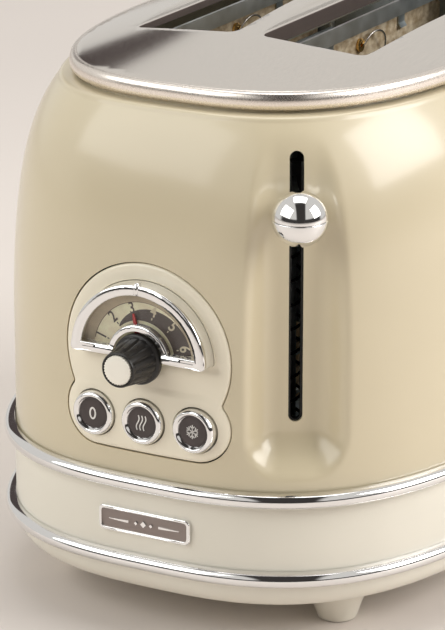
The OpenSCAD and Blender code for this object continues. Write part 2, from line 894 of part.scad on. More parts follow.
// ---------------------------------------------------------------- nodes

module placed() translate([0, shift_y, 0]) children();

placed() outer_shell();
placed() top_lid();
placed() upper_trim_ring();
placed() lower_trim_ring();
placed() base_housing();
placed() feet();
placed() foot_pads();
placed() badge_plate();
placed() control_fascia();
placed() dial_bezel();
placed() dial_lens();
placed() dial_plate();
placed() dial_pointer();
placed() browning_knob();
placed() knob_cap();
placed() knob_shaft();
placed() browning_pot();
placed() cancel_button();
placed() reheat_button();
placed() defrost_button();
placed() cancel_cap();
placed() reheat_cap();
placed() defrost_cap();
placed() button_guide();
placed() control_board();
placed() tact_switches();
placed() relay();
placed() lever_knob_upper();
placed() lever_knob_lower();
placed() lever_arm();
placed() slot_seal();
placed() carriage_bracket();
placed() carriage_bush();
placed() keeper_plate();
placed() bread_rack_left();
placed() bread_rack_right();
placed() guide_rod();
placed() return_spring();
placed() magnet_core();
placed() magnet_coil();
placed() front_bulkhead();
placed() rear_bulkhead();
placed() left_heat_shield();
placed() right_heat_shield();
placed() left_element_board();
placed() centre_element_board();
placed() right_element_board();
placed() heating_elements();
placed() terminal_eyelets();
placed() guide_left_outer();
placed() guide_left_inner();
placed() guide_right_inner();
placed() guide_right_outer();
placed() crumb_tray();
placed() tray_handle();
placed() tray_rails();
placed() terminal_block();
placed() cord_gland();
placed() base_screws();
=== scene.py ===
# %% [markdown]
# # A pop-up toaster, dressed round its CAD frame
#
# The CAD model has already settled every size, joint and fit of this toaster. This file adds what the eye
# sees: smooth sheet metal, polished trim, printed symbols, and a finish for every piece. It never moves a
# CAD piece. Where a CAD solid is too coarse to look at closely, a finer piece takes its place, made from
# the same sizes.
#
# The file reads like a notebook. Each step says first what the real piece is, and why it is made this way.

import json
import math

import bmesh
import bpy
import numpy as np
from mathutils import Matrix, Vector
from mathutils.geometry import delaunay_2d_cdt


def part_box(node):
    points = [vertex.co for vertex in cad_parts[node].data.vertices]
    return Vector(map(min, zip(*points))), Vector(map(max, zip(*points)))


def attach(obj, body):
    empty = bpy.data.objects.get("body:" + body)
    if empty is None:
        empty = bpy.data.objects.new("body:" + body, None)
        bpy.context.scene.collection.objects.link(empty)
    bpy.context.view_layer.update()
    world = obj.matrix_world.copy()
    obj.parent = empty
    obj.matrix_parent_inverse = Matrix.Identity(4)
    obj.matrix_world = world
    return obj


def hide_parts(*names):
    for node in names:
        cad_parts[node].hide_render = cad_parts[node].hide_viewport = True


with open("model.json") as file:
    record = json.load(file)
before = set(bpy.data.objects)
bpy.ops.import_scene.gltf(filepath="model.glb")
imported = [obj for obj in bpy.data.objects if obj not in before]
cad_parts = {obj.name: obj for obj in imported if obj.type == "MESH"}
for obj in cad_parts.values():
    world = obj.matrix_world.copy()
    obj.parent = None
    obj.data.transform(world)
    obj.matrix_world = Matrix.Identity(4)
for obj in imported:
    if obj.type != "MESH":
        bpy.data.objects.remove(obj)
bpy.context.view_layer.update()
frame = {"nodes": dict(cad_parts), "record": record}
slot_of = {part["node"]: part["material_slot"] for part in frame["record"]["subparts"]}

# %% [markdown]
# ## Sizes, measured off the frame
#
# Everything below works in millimetres, because that is how a maker thinks, and turns to metres only when a
# mesh is made. Sizes and places come from the boxes of the CAD nodes, so the pieces land where the CAD
# says.

# %% Measure the frame
MM = 0.001


def corners(node):
    """Lowest and highest corner of a CAD node, in millimetres."""
    low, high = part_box(node)
    return low / MM, high / MM


def centre(node):
    low, high = corners(node)
    return (low + high) / 2


def half(node):
    low, high = corners(node)
    return (high - low) / 2


shell_low = corners("outer_shell")[0]
mid_y = centre("base_housing").y
body_a = half("outer_shell").x
body_b = half("outer_shell").y
face_y = corners("control_fascia")[0].y
dial_z = centre("browning_knob").z
button_z = centre("reheat_cap").z
button_pitch = centre("defrost_cap").x
lobe_z = button_z + 0.7
print(f"body {2 * body_a:.1f} x {2 * body_b:.1f} mm, dial at z {dial_z:.1f}, buttons at z {button_z:.1f}")

# %% [markdown]
# ## The oval
#
# From above, the toaster is a superellipse: rounder than a box, squarer than an ellipse. One formula gives
# a point on it for any angle, and every oval piece of the toaster uses it, so that they nest.

# %% The plan curve
plan_power = 2.8


def oval(angles, a, b):
    """Points of the superellipse with half sizes a and b, as an array of x and y."""
    c, s = np.cos(angles), np.sin(angles)
    k = (np.abs(c) ** plan_power + np.abs(s) ** plan_power) ** (-1 / plan_power)
    return np.column_stack([a * k * c, mid_y + b * k * s])


def oval_front(x, a, b):
    """Y of the front of that superellipse, at x."""
    return mid_y - b * (1 - (np.abs(x) / a) ** plan_power) ** (1 / plan_power)


def even_angles(count):
    return np.linspace(0, 2 * math.pi, count, endpoint=False)


print("a quarter of the way round:", oval(np.array([math.pi / 4]), body_a, body_b).round(1))

# %% [markdown]
# ## Skins
#
# Every shell and plate here is a skin: rings of points joined by quads, and flat or domed faces filled with
# triangles. A small class collects them, and then welds them into one mesh. Blender works out which
# way the faces point, and marks sharp edges by their angle, so that smooth shading stays smooth only where
# metal is smooth.

# %% The skin class
class Skin:
    def __init__(self):
        self.points = []
        self.faces = []

    def ring(self, points):
        start = len(self.points)
        self.points.extend(tuple(p) for p in points)
        return list(range(start, len(self.points)))

    def bridge(self, one, two, closed=True):
        count = len(one)
        for i in range(count if closed else count - 1):
            j = (i + 1) % count
            self.faces.append((one[i], one[j], two[j], two[i]))

    def loft(self, rings, closed=True):
        """Joins ring after ring, and returns the point numbers of each."""
        numbered = [self.ring(r) for r in rings]
        for one, two in zip(numbered, numbered[1:]):
            self.bridge(one, two, closed)
        return numbered

    def patch(self, points, faces):
        numbers = self.ring(points)
        self.faces.extend(tuple(numbers[i] for i in f) for f in faces)

    def object(self, name, sharp=35.0):
        """Makes the Blender object: metres, welded, outward faces, smooth up to the sharp angle in degrees."""
        mesh = bpy.data.meshes.new(name)
        mesh.from_pydata([tuple(c * MM for c in p) for p in self.points], [], self.faces)
        work = bmesh.new()
        work.from_mesh(mesh)
        bmesh.ops.remove_doubles(work, verts=work.verts, dist=0.002 * MM)
        bmesh.ops.dissolve_degenerate(work, edges=work.edges, dist=0.001 * MM)
        bmesh.ops.recalc_face_normals(work, faces=work.faces)
        work.to_mesh(mesh)
        work.free()
        made = bpy.data.objects.new(name, mesh)
        bpy.context.scene.collection.objects.link(made)
        smooth(made, sharp)
        return made


def smooth(made, sharp=35.0):
    made.data.shade_smooth()
    made.data.set_sharp_from_angle(angle=math.radians(sharp))


def apply_modifiers(made):
    """Turns what the modifiers show into the object's own mesh."""
    bpy.context.view_layer.update()
    shown = made.evaluated_get(bpy.context.evaluated_depsgraph_get())
    made.data = bpy.data.meshes.new_from_object(shown)
    made.modifiers.clear()
    return made


def thicken(made, thickness):
    """Gives a sheet its thickness, inwards."""
    solid = made.modifiers.new("sheet", "SOLIDIFY")
    solid.thickness = thickness * MM
    solid.offset = -1
    solid.use_quality_normals = True
    return apply_modifiers(made)


def cut(made, *cutters):
    """Cuts each cutter out of the piece, and takes the cutters away."""
    for cutter in cutters:
        knife = made.modifiers.new("cut", "BOOLEAN")
        knife.object = cutter
        knife.operation = "DIFFERENCE"
        knife.solver = "EXACT"
    apply_modifiers(made)
    for cutter in cutters:
        bpy.data.objects.remove(cutter)
    return made


print("ready to make skins")

# %% [markdown]
# ## Filling an outline
#
# A pressed plate has an outline, holes, and a face that is seldom quite flat. Blender's constrained
# triangulation fills any outline with holes. Extra points inside let the face be bent onto a curved body
# afterwards, and the rings along each edge give it a rounded rim instead of a knife edge.

# %% Fill outlines and build plates
def inside(points, loop):
    """True for each point that lies inside the loop, by counting the loop's edges to its right."""
    x, y = points[:, 0:1], points[:, 1:2]
    x0, y0 = loop[:, 0], loop[:, 1]
    x1, y1 = np.roll(x0, -1), np.roll(y0, -1)
    rise = np.where(y1 == y0, 1e-12, y1 - y0)
    crossed = ((y0 > y) != (y1 > y)) & (x < x0 + (y - y0) * (x1 - x0) / rise)
    return crossed.sum(axis=1) % 2 == 1


row_share, edge_share = 0.87, 0.55


def fill(loops, step):
    """Triangles between the first loop and the others, with inner points about a step apart.
    Rows lie a row_share of a step apart, and keep an edge_share of a step clear of the loops."""
    low, high = loops[0].min(axis=0), loops[0].max(axis=0)
    rows = []
    for k, y in enumerate(np.arange(low[1] + step / 2, high[1], step * row_share)):
        xs = np.arange(low[0] + (k % 2) * step / 2, high[0], step)
        rows.append(np.column_stack([xs, np.full(len(xs), y)]))
    inner = np.vstack(rows)
    keep = inside(inner, loops[0])
    for hole in loops[1:]:
        keep &= ~inside(inner, hole)
    edge_points = np.vstack(loops)
    near = np.linalg.norm(inner[:, None] - edge_points[None], axis=2).min(axis=1) < edge_share * step
    inner = inner[keep & ~near]
    edges, start = [], 0
    for loop in loops:
        edges += [(start + i, start + (i + 1) % len(loop)) for i in range(len(loop))]
        start += len(loop)
    given = [Vector(p) for p in np.vstack([edge_points, inner])]
    points, _, faces, *_ = delaunay_2d_cdt(given, edges, [], 1, 1e-6)
    points = np.array([tuple(p) for p in points])
    middles = np.array([points[list(f)].mean(axis=0) for f in faces])
    good = inside(middles, loops[0])
    for hole in loops[1:]:
        good &= ~inside(middles, hole)
    return points, [f for f, ok in zip(faces, good) if ok]


def plate(name, place, outer, holes=(), step=2.0, back=True, sharp=35.0):
    """A plate with rounded rims. outer and each hole are (shape, rim): shape(grow) is the outline grown by
    that much, and rim lists (inset, drop) from the face down. place(points, drop) puts flat points in space."""
    skin = Skin()
    faces_of, backs_of = [], []
    for k, (shape, rim) in enumerate([outer, *holes]):
        way = -1 if k == 0 else 1
        skin.loft([place(shape(way * inset), drop) for inset, drop in rim])
        faces_of.append(shape(way * rim[0][0]))
        backs_of.append(shape(way * rim[-1][0]))
    points, tris = fill(faces_of, step)
    skin.patch(place(points, outer[1][0][1]), tris)
    if back:
        points, tris = fill(backs_of, 4 * step)
        skin.patch(place(points, outer[1][-1][1]), tris)
    return skin.object(name, sharp)


def rounded_rim(radius, depth, steps=4):
    """A rim that rounds over by radius and then goes straight down to depth."""
    turn = [math.pi / 2 * k / steps for k in range(steps + 1)]
    return [(radius * (1 - math.sin(t)), radius * (1 - math.cos(t))) for t in turn] + [(0, depth)]


print("rim of 1 mm:", [tuple(round(v, 2) for v in p) for p in rounded_rim(1, 3)])

# %% [markdown]
# ## Outlines
#
# A shape is a function of how much it is grown. Growing a circle adds to its radius, and growing a rounded
# box adds to its corners, so the rings of a rim keep the same number of points and always match up.

# %% Outline shapes
def arc(cx, cy, r, start, end, count):
    """Points on an arc, both ends included, in degrees."""
    t = np.radians(np.linspace(start, end, count))
    return np.column_stack([cx + r * np.cos(t), cy + r * np.sin(t)])


def disc(cx, cy, r, count=64):
    return lambda grow: arc(cx, cy, r + grow, 0, 360 - 360 / count, count)


def rounded_box(cx, cy, w, h, r, count=8):
    def shape(grow):
        ends = []
        for quarter, (sx, sy) in enumerate([(1, 1), (-1, 1), (-1, -1), (1, -1)]):
            x, y = cx + sx * (w / 2 - r), cy + sy * (h / 2 - r)
            ends.append(arc(x, y, r + grow, 90 * quarter, 90 * quarter + 90, count))
        return np.vstack(ends)
    return shape


def meet(c0, r0, c1, r1):
    """The point where two circles cross, on the side with the larger x."""
    gap = np.subtract(c1, c0)
    d = np.hypot(*gap)
    along = (r0 * r0 - r1 * r1 + d * d) / (2 * d)
    off = math.sqrt(r0 * r0 - along * along)
    u = gap / d
    choices = [np.add(c0, along * u) + s * off * np.array([-u[1], u[0]]) for s in (1, -1)]
    return max(choices, key=lambda p: p[0])


def heading(origin, point):
    return math.degrees(math.atan2(point[1] - origin[1], point[0] - origin[0]))


print("circles of 5 and 4, 6 apart, cross at", meet((0, 0), 5, (6, 0), 4).round(2))

# %% [markdown]
# ## Finishes
#
# A finish starts as a Principled shader and gets its detail from noise in real millimetres: stretched noise
# for brushing, fine noise for the orange peel in enamel, broad noise for faint marks. A few helpers do all
# of it, so that each finish below is a few plain lines.

# %% Finish helpers
def srgb(r, g, b):
    """A colour as a screen shows it, 0 to 255, turned to the linear values that the shader needs."""
    shown = [c / 255 for c in (r, g, b)]
    return tuple(c / 12.92 if c <= 0.04045 else ((c + 0.055) / 1.055) ** 2.4 for c in shown)


def finish(name, colour, roughness=0.4, metallic=0.0, coat=0.0, coat_roughness=0.05):
    material = bpy.data.materials.new(name)
    material.use_nodes = True
    shader = material.node_tree.nodes["Principled BSDF"]
    shader.inputs["Base Color"].default_value = (*colour, 1)
    shader.inputs["Roughness"].default_value = roughness
    shader.inputs["Metallic"].default_value = metallic
    shader.inputs["Coat Weight"].default_value = coat
    shader.inputs["Coat Roughness"].default_value = coat_roughness
    return material


def grain(material, size, stretch=(1, 1, 1), detail=2.0):
    """Noise whose grains are about size mm, longer along an axis by its stretch. Returns its output."""
    nodes, links = material.node_tree.nodes, material.node_tree.links
    where = nodes.new("ShaderNodeTexCoord")
    scaled = nodes.new("ShaderNodeMapping")
    scaled.inputs["Scale"].default_value = tuple(1 / (size * MM * s) for s in stretch)
    noise = nodes.new("ShaderNodeTexNoise")
    noise.inputs["Scale"].default_value = 1.0
    noise.inputs["Detail"].default_value = detail
    links.new(where.outputs["Object"], scaled.inputs["Vector"])
    links.new(scaled.outputs["Vector"], noise.inputs["Vector"])
    return noise.outputs["Fac"]


def spread(material, source, low, high, start=0.3, end=0.7):
    """Maps a noise onto low to high."""
    node = material.node_tree.nodes.new("ShaderNodeMapRange")
    node.inputs["From Min"].default_value = start
    node.inputs["From Max"].default_value = end
    node.inputs["To Min"].default_value = low
    node.inputs["To Max"].default_value = high
    material.node_tree.links.new(source, node.inputs["Value"])
    return node.outputs["Result"]


def tint(material, source, one, two, start=0.3, end=0.7):
    """Colours the surface between two colours by a noise."""
    mix = material.node_tree.nodes.new("ShaderNodeMix")
    mix.data_type = "RGBA"
    mix.inputs[6].default_value = (*one, 1)
    mix.inputs[7].default_value = (*two, 1)
    links = material.node_tree.links
    links.new(spread(material, source, 0, 1, start, end), mix.inputs[0])
    links.new(mix.outputs[2], material.node_tree.nodes["Principled BSDF"].inputs["Base Color"])
    return material


def roughen(material, source, low, high, start=0.3, end=0.7):
    rough = spread(material, source, low, high, start, end)
    material.node_tree.links.new(rough, material.node_tree.nodes["Principled BSDF"].inputs["Roughness"])
    return material


def emboss(material, source, height):
    """Raises the surface by up to height mm where the noise is high."""
    nodes, links = material.node_tree.nodes, material.node_tree.links
    bump = nodes.new("ShaderNodeBump")
    bump.inputs["Distance"].default_value = height * MM
    bump.inputs["Strength"].default_value = 1.0
    links.new(source, bump.inputs["Height"])
    links.new(bump.outputs["Normal"], nodes["Principled BSDF"].inputs["Normal"])
    return material


print("cream in linear light:", [round(c, 3) for c in srgb(226, 216, 194)])

# %% [markdown]
# ### Enamel, cream plastic and print
#
# The body is enamelled steel: a champagne colour under a clear gloss, with the faint orange peel that
# sprayed paint always has. The base and the fascia are moulded plastic in a lighter cream. Print is satin
# and thin.

# %% Painted and moulded finishes
def enamel():
    made = finish("champagne_enamel", srgb(214, 202, 172), roughness=0.32, coat=0.65, coat_roughness=0.13)
    tint(made, grain(made, 45), srgb(212, 200, 171), srgb(216, 204, 175))
    roughen(made, grain(made, 30, detail=1), 0.28, 0.33)
    return emboss(made, grain(made, 2.2), 0.006)


def moulded(name, colour, roughness=0.32, coat=0.35):
    made = finish(name, colour, roughness=roughness, coat=coat, coat_roughness=0.12)
    darker = tuple(c * 0.965 for c in colour)
    tint(made, grain(made, 30), darker, colour)
    roughen(made, grain(made, 9, detail=3), roughness - 0.03, roughness + 0.04)
    return emboss(made, grain(made, 0.5), 0.003)


def satin_plastic(name, colour, roughness=0.45):
    made = finish(name, colour, roughness=roughness)
    darker, lighter = tuple(c * 0.8 for c in colour), tuple(min(1, c * 1.15) for c in colour)
    tint(made, grain(made, 6, detail=6), darker, lighter)
    roughen(made, grain(made, 1.5, detail=6), roughness - 0.1, roughness + 0.1)
    return emboss(made, grain(made, 0.25), 0.006)


print("painted and moulded finishes ready")

# %% [markdown]
# ### Metals
#
# Polished chrome is nearly a mirror, so it is kept very smooth, with only the faintest haze. The lid is
# brushed along its length: its noise is stretched a hundred and twenty times along Y, and the same noise
# drives colour, gloss and relief, so that they agree. Galvanised sheet has a cloudy spangle, and the heater
# alloy has a burnt colour.

# %% Metal finishes
def chrome(name="chrome_plate"):
    made = finish(name, (0.86, 0.86, 0.86), roughness=0.05, metallic=1.0)
    return roughen(made, grain(made, 8, detail=6), 0.03, 0.09)


def brushed(name, colour, size, stretch, low=0.26, high=0.34, depth=0.002):
    made = finish(name, colour, roughness=low, metallic=1.0)
    streaks = grain(made, size, stretch, detail=3)
    tint(made, streaks, tuple(c * 0.94 for c in colour), colour)
    roughen(made, streaks, low, high)
    return emboss(made, streaks, depth)


def galvanised():
    made = finish("galvanised_sheet", srgb(172, 182, 190), roughness=0.45, metallic=0.8)
    spangle = grain(made, 6, detail=2)
    tint(made, spangle, srgb(160, 169, 172), srgb(188, 196, 199))
    return roughen(made, spangle, 0.4, 0.55)


def cloudy_metal(name, dark, light, size=1.5, low=0.25, high=0.5):
    made = finish(name, light, roughness=low, metallic=1.0)
    cloud = grain(made, size, detail=5)
    tint(made, cloud, dark, light)
    return roughen(made, cloud, low, high)


def mica():
    made = finish("mica_board", srgb(222, 204, 174), roughness=0.55)
    flakes = grain(made, 2.2, (1, 1.6, 1), detail=8)
    tint(made, flakes, srgb(190, 166, 130), srgb(238, 222, 194), 0.36, 0.64)
    roughen(made, flakes, 0.4, 0.7)
    return emboss(made, flakes, 0.02)


print("metal finishes ready")

# %% [markdown]
# ### The clear lens
#
# A pane this thin hardly bends light, so it is a transparent shader under a glossy one. The glossy share
# grows as the pane is seen more from the side, and it is the same on both faces. A Fresnel node would turn
# light back at the far face, because the light is never bent here, and the scale would go dark.

# %% Lens finish
def clear_pane():
    made = bpy.data.materials.new("clear_pane")
    made.use_nodes = True
    nodes, links = made.node_tree.nodes, made.node_tree.links
    nodes.remove(nodes["Principled BSDF"])
    through = nodes.new("ShaderNodeBsdfTransparent")
    through.inputs["Color"].default_value = (0.97, 0.97, 0.96, 1)
    gloss = nodes.new("ShaderNodeBsdfGlossy")
    gloss.inputs["Roughness"].default_value = 0.03
    slant = nodes.new("ShaderNodeLayerWeight")
    slant.inputs["Blend"].default_value = 0.5
    steep = nodes.new("ShaderNodeMath")
    steep.operation = "POWER"
    steep.inputs[1].default_value = 4.0
    share = nodes.new("ShaderNodeMath")
    share.operation = "MULTIPLY_ADD"
    share.inputs[1].default_value = 0.9
    share.inputs[2].default_value = 0.02
    links.new(slant.outputs["Facing"], steep.inputs[0])
    links.new(steep.outputs[0], share.inputs[0])
    mix = nodes.new("ShaderNodeMixShader")
    links.new(share.outputs[0], mix.inputs[0])
    links.new(through.outputs["BSDF"], mix.inputs[1])
    links.new(gloss.outputs["BSDF"], mix.inputs[2])
    links.new(mix.outputs["Shader"], nodes["Material Output"].inputs["Surface"])
    return made


print("lens finish ready")

# %% [markdown]
# ### One finish for each slot
#
# The CAD record names a material slot for every node. Each slot gets its finish here, and every CAD node
# that stays in view takes it. The new pieces below take theirs from the same table, so a body and its trim
# always agree. The spring and the magnet behind the lever's slot are painted near black instead, as painted
# shade, so that nothing bright shows through the slot.

# %% Finishes by slot
finishes = {
    "champagne_enamel": enamel(),
    "brushed_lid": brushed("brushed_lid", (0.86, 0.815, 0.765), 0.3, (1, 120, 1), 0.11, 0.15),
    "chrome_trim": chrome(),
    "cream_base": moulded("cream_base", srgb(236, 231, 217)),
    "cream_fascia": moulded("cream_fascia", srgb(246, 238, 217)),
    "pad_rubber": satin_plastic("pad_rubber", (0.03, 0.03, 0.03), 0.7),
    "badge_metal": chrome("badge_chrome"),
    "clear_lens": clear_pane(),
    "printed_scale": satin_plastic("scale_card", srgb(255, 240, 212), 0.5),
    "pointer_red": satin_plastic("pointer_red", srgb(190, 40, 42), 0.4),
    "black_knob": satin_plastic("black_knob", (0.016, 0.014, 0.013), 0.36),
    "black_plastic": satin_plastic("black_plastic", (0.03, 0.03, 0.03)),
    "white_plastic": satin_plastic("white_plastic", (0.7, 0.7, 0.67)),
    "button_face": satin_plastic("button_face", srgb(72, 63, 62), 0.4),
    "board_green": satin_plastic("board_green", srgb(30, 84, 52), 0.35),
    "zinc_steel": galvanised(),
    "rack_wire": cloudy_metal("drawn_wire", (0.53, 0.565, 0.575), (0.63, 0.665, 0.675), 7, 0.34, 0.42),
    "coil_copper": cloudy_metal("coil_copper", (0.4, 0.14, 0.06), (0.75, 0.33, 0.16), 0.8),
    "mica_sheet": mica(),
    "heater_ribbon": cloudy_metal("heater_ribbon", (0.16, 0.13, 0.11), (0.42, 0.37, 0.33), 3, 0.3, 0.5),
    "brass_eyelet": cloudy_metal("brass_eyelet", (0.55, 0.33, 0.1), (0.85, 0.6, 0.25), 0.6, 0.15, 0.35),
    "seal_fabric": satin_plastic("slot_seal", (0.006, 0.006, 0.006), 0.6),
}


def dress(piece, material):
    piece.data.materials.clear()
    piece.data.materials.append(material)


for name, node in frame["nodes"].items():
    dress(node, finishes[slot_of[name]])
# Painted shade: near-black paint on the spring and magnet, so the lever's slot reads as dark shade.
slot_painted_shade = cloudy_metal("slot_shade_black", (0.012, 0.012, 0.012), (0.03, 0.03, 0.03), 2, 0.45, 0.6)
for name in ("return_spring", "magnet_coil", "magnet_core"):
    dress(frame["nodes"][name], slot_painted_shade)
print("finishes:", len(finishes))


def fit_out(made, body, slot, material=None, stands_for=()):
    """Gives a new piece its finish, the slot's own unless another is given, puts it on its body, and hides the
    CAD nodes that it stands for.
    """
    dress(made, material or finishes[slot])
    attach(made, body)
    if stands_for:
        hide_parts(*stands_for)
    print(f"{made.name}: {len(made.data.vertices)} points, rides on {body}")
    return made


# %% [markdown]
# ## The enamelled shell
#
# The real shell is one deep-drawn steel pressing. Its wall is straight up to about half its height, and
# then draws in ever faster towards the lid. The lever's track is pressed into its right front corner. Here
# it is a loft: one ring of the oval for each height, drawn in by a formula, with the track pushed in by a
# second formula. At the top it rolls inwards and then turns up inside the lid, so that no gap shows under
# the lid's rim. The sheet then gets its 1 mm, and the openings are cut with Boolean modifiers.

# %% Shell formulas
shoulder_z = 100.0
shoulder_slow, shoulder_tight = 8.9, 8.4
shell_top = 186.0
lever_turn = math.radians(32.0)
lever_out = np.array([math.sin(lever_turn), -math.cos(lever_turn)])
lever_across = np.array([math.cos(lever_turn), math.sin(lever_turn)])
track_floor = np.array([47.5, mid_y - 126.6])
track_half, track_run = 6.0, 13.5
track_end_z, track_end_run = 78.0, 15.0
track_rise, track_lip = 14.0, 5.0


def shoulder(z):
    """How far the body has drawn in at height z."""
    u = np.maximum(0, (z - shoulder_z) / (shell_top - shoulder_z))
    return shoulder_slow * u**2 + shoulder_tight * u**6


def soft_min(one, two, width):
    """The lesser of the two, rounded over a width where they cross."""
    near = np.maximum(0, width - np.abs(one - two))
    return np.minimum(one, two) - near**2 / (4 * width)


def shell_ring(angles, z):
    flat = oval(angles, body_a - shoulder(z), body_b - shoulder(z))
    across = (flat - track_floor) @ lever_across
    out = (flat - track_floor) @ lever_out
    side = np.maximum(0, np.abs(across) - track_half) / track_run
    end = max(0, track_end_z - z) / track_end_run
    wall = track_rise * (side**2 + end**2)
    moved = flat + (soft_min(out, wall, track_lip) - out)[:, None] * lever_out
    return np.column_stack([moved, np.full(len(angles), z)])


def front_y(x, z, off=0.0):
    """Y of the body's front at x and z, off millimetres outside it."""
    draw = shoulder(z) - off
    return oval_front(x, body_a - draw, body_b - draw)


print("drawn in at the top by", round(float(shoulder(shell_top)), 2), "mm")

# %% Shell sheet
fine_step, plain_step = 0.45, 1.25
track_zone = np.radians(np.arange(-76, -42, fine_step))
rest_of_turn = np.radians(np.concatenate([np.arange(-180, -76, plain_step), np.arange(-41.8, 180, plain_step)]))
roll_z, roll_r = 184.6, 1.4
lip_in, lip_up = 5.8, 2.5
shell_angles = np.sort(np.concatenate([track_zone, rest_of_turn]))
lower_levels = np.arange(shell_low.z, 100, 1.6)
upper_levels = np.concatenate([np.arange(100, 168, 2.0), np.arange(168, 185, 1.0)])
shell_skin = Skin()
rings = [shell_ring(shell_angles, z) for z in np.concatenate([lower_levels, upper_levels])]
for turn in np.radians([0, 25, 50, 75, 90]):
    halves = [h - shoulder(roll_z) - roll_r * (1 - math.cos(turn)) for h in (body_a, body_b)]
    rolled = oval(shell_angles, *halves)
    rings.append(np.column_stack([rolled, np.full(len(shell_angles), roll_z + roll_r * math.sin(turn))]))
lip = oval(shell_angles, *(h - shoulder(shell_top) - lip_in for h in (body_a, body_b)))
rings.append(np.column_stack([lip, np.full(len(shell_angles), shell_top)]))
rings.append(np.column_stack([lip, np.full(len(shell_angles), shell_top + lip_up)]))
shell_skin.loft(rings)
shell = shell_skin.object("enamel_shell")
print("shell sheet:", len(shell.data.polygons), "faces")

# %% [markdown]
# ### The fascia's outline
#
# The control fascia joins a disc round the dial and a two-lobed bar round the buttons, with a small fillet
# at the waist. The hole in the shell is the same outline, grown by a hair, which leaves the thin dark gap
# seen all round it.

# %% Fascia outline
fascia_r = half("control_fascia").x
lobe_r = 12.5
waist_r = 2.2


def fascia_shape(grow):
    top, right = (0, dial_z), (button_pitch, lobe_z)
    waist = meet(top, fascia_r + waist_r, right, lobe_r + waist_r)
    a, b = heading(top, waist), heading(right, waist)
    side = [
        arc(*right, lobe_r + grow, -90, b, 30),
        arc(*waist, waist_r - grow, b + 180, a + 180, 8)[1:-1],
        arc(*top, fascia_r + grow, a, 90, 60),
    ]
    half_way = np.vstack(side)
    mirrored = half_way[::-1][1:] * (-1, 1)
    floor_xs = np.linspace(-button_pitch, button_pitch, 12)[1:-1]
    floor_line = np.column_stack([floor_xs, np.full(len(floor_xs), lobe_z - lobe_r - grow)])
    return np.vstack([half_way, mirrored, floor_line])


def prism(name, outline, low_y, high_y, turn=0.0, origin=(0, 0)):
    """A cutter: the outline in X and Z, run along Y, and turned about the vertical line through origin."""
    skin = Skin()
    ends = []
    for y in (low_y, high_y):
        x, z = outline[:, 0], outline[:, 1]
        px = origin[0] + x * math.cos(turn) - y * math.sin(turn)
        py = origin[1] + x * math.sin(turn) + y * math.cos(turn)
        ends.append(np.column_stack([px, py, z]))
    numbered = skin.loft(ends)
    skin.faces += [tuple(numbered[0]), tuple(numbered[1])]
    return skin.object(name)


fascia_gap = 0.45
fascia_cut, slot_cut = 20, 6
lever_slot_r = 2.45
lever_slot_low, lever_slot_high = 80.3, 176.0
slot_outline = np.vstack([
    arc(0, lever_slot_high - lever_slot_r, lever_slot_r, 0, 180, 16),
    arc(0, lever_slot_low + lever_slot_r, lever_slot_r, 180, 360, 16),
])
thicken(shell, 1.0)
cut(
    shell,
    prism("fascia_cutter", fascia_shape(fascia_gap), face_y - fascia_cut, face_y + fascia_cut),
    prism("slot_cutter", slot_outline, -slot_cut, slot_cut, lever_turn, track_floor),
)
smooth(shell, 40)
fit_out(shell, "housing", "champagne_enamel", stands_for=["outer_shell"])

# %% [markdown]
# ## The brushed lid
#
# The lid is a shallow dome with a rolled rim, and its two slots are pressed down into flanges that guide
# the bread. It is a plate bent onto the dome: the same triangulated fill gives the face, and rings down
# each slot give the rounded mouth and the straight flange below it. It has three finishes: brushed steel on
# its face, a much darker copy of that steel down the flanges, which is painted shade for the slots' shadowed
# insides, and a paler, rougher copy round the rolled rim, which is a painted highlight.

# %% Lid
lid_high = corners("top_lid")[1]
lid_a, lid_b = half("top_lid").x, half("top_lid").y
crease_z = 193.3
lid_edge = 2.6
slot_centre = centre("bread_rack_right").x
slot_w, slot_l, slot_corner = 40.3, 148.0, 4.0
flange_z, flange_deep = 194.5, 5.0
flange_margin = 1.2


def dome(points):
    """Height of the lid's face over each point."""
    x, y = points[:, 0], points[:, 1] - mid_y
    a, b = lid_a - lid_edge, lid_b - lid_edge
    s = (np.abs(x / a) ** plan_power + np.abs(y / b) ** plan_power) ** (1 / plan_power)
    return crease_z + (lid_high.z - crease_z) * (1 - s**2)


def on_lid(points, drop):
    return np.column_stack([points, dome(points) - drop])


def on_rim(points, drop):
    return np.column_stack([points, np.full(len(points), crease_z - drop)])


def on_flange(points, drop):
    """The mouth rounds over on the dome, and the flange below it ends level."""
    z = dome(points) - drop if drop < flange_deep else np.full(len(points), flange_z)
    return np.column_stack([points, z])


def lid_shape(grow):
    return oval(even_angles(288), lid_a + grow, lid_b + grow)


lid_skin = Skin()
rim_turns = np.radians(np.arange(90, -101, -13.6))
rim_centre_z, rim_half, rim_in = 190.1, 3.1, 1.9
rim = [(lid_edge, 0.0), (2.45, 0.12), (2.2, 0.1)]
for t in rim_turns:
    inset = rim_in * (1 - max(0, math.cos(t)) ** 0.85)
    rim.append((inset, crease_z - rim_centre_z - rim_half * math.sin(t)))
slots = [rounded_box(s * slot_centre, mid_y, slot_w, slot_l, slot_corner) for s in (-1, 1)]
mouth = [(0.8, 0.0), (0.5, 0.05), (0.22, 0.2), (0.05, 0.45), (0.0, 0.8), (0.0, flange_deep)]
lid_skin.loft([on_rim(lid_shape(-inset), drop) for inset, drop in rim])
for slot_shape in slots:
    lid_skin.loft([on_flange(slot_shape(inset), drop) for inset, drop in mouth])
lid_loops = [lid_shape(-lid_edge), *(s(mouth[0][0]) for s in slots)]
lid_points, lid_tris = fill(lid_loops, 3.0)
lid_skin.patch(on_lid(lid_points, 0), lid_tris)
lid = thicken(lid_skin.object("lid_pressing", 50), 0.8)
smooth(lid, 50)
fit_out(lid, "housing", "brushed_lid", stands_for=["top_lid"])
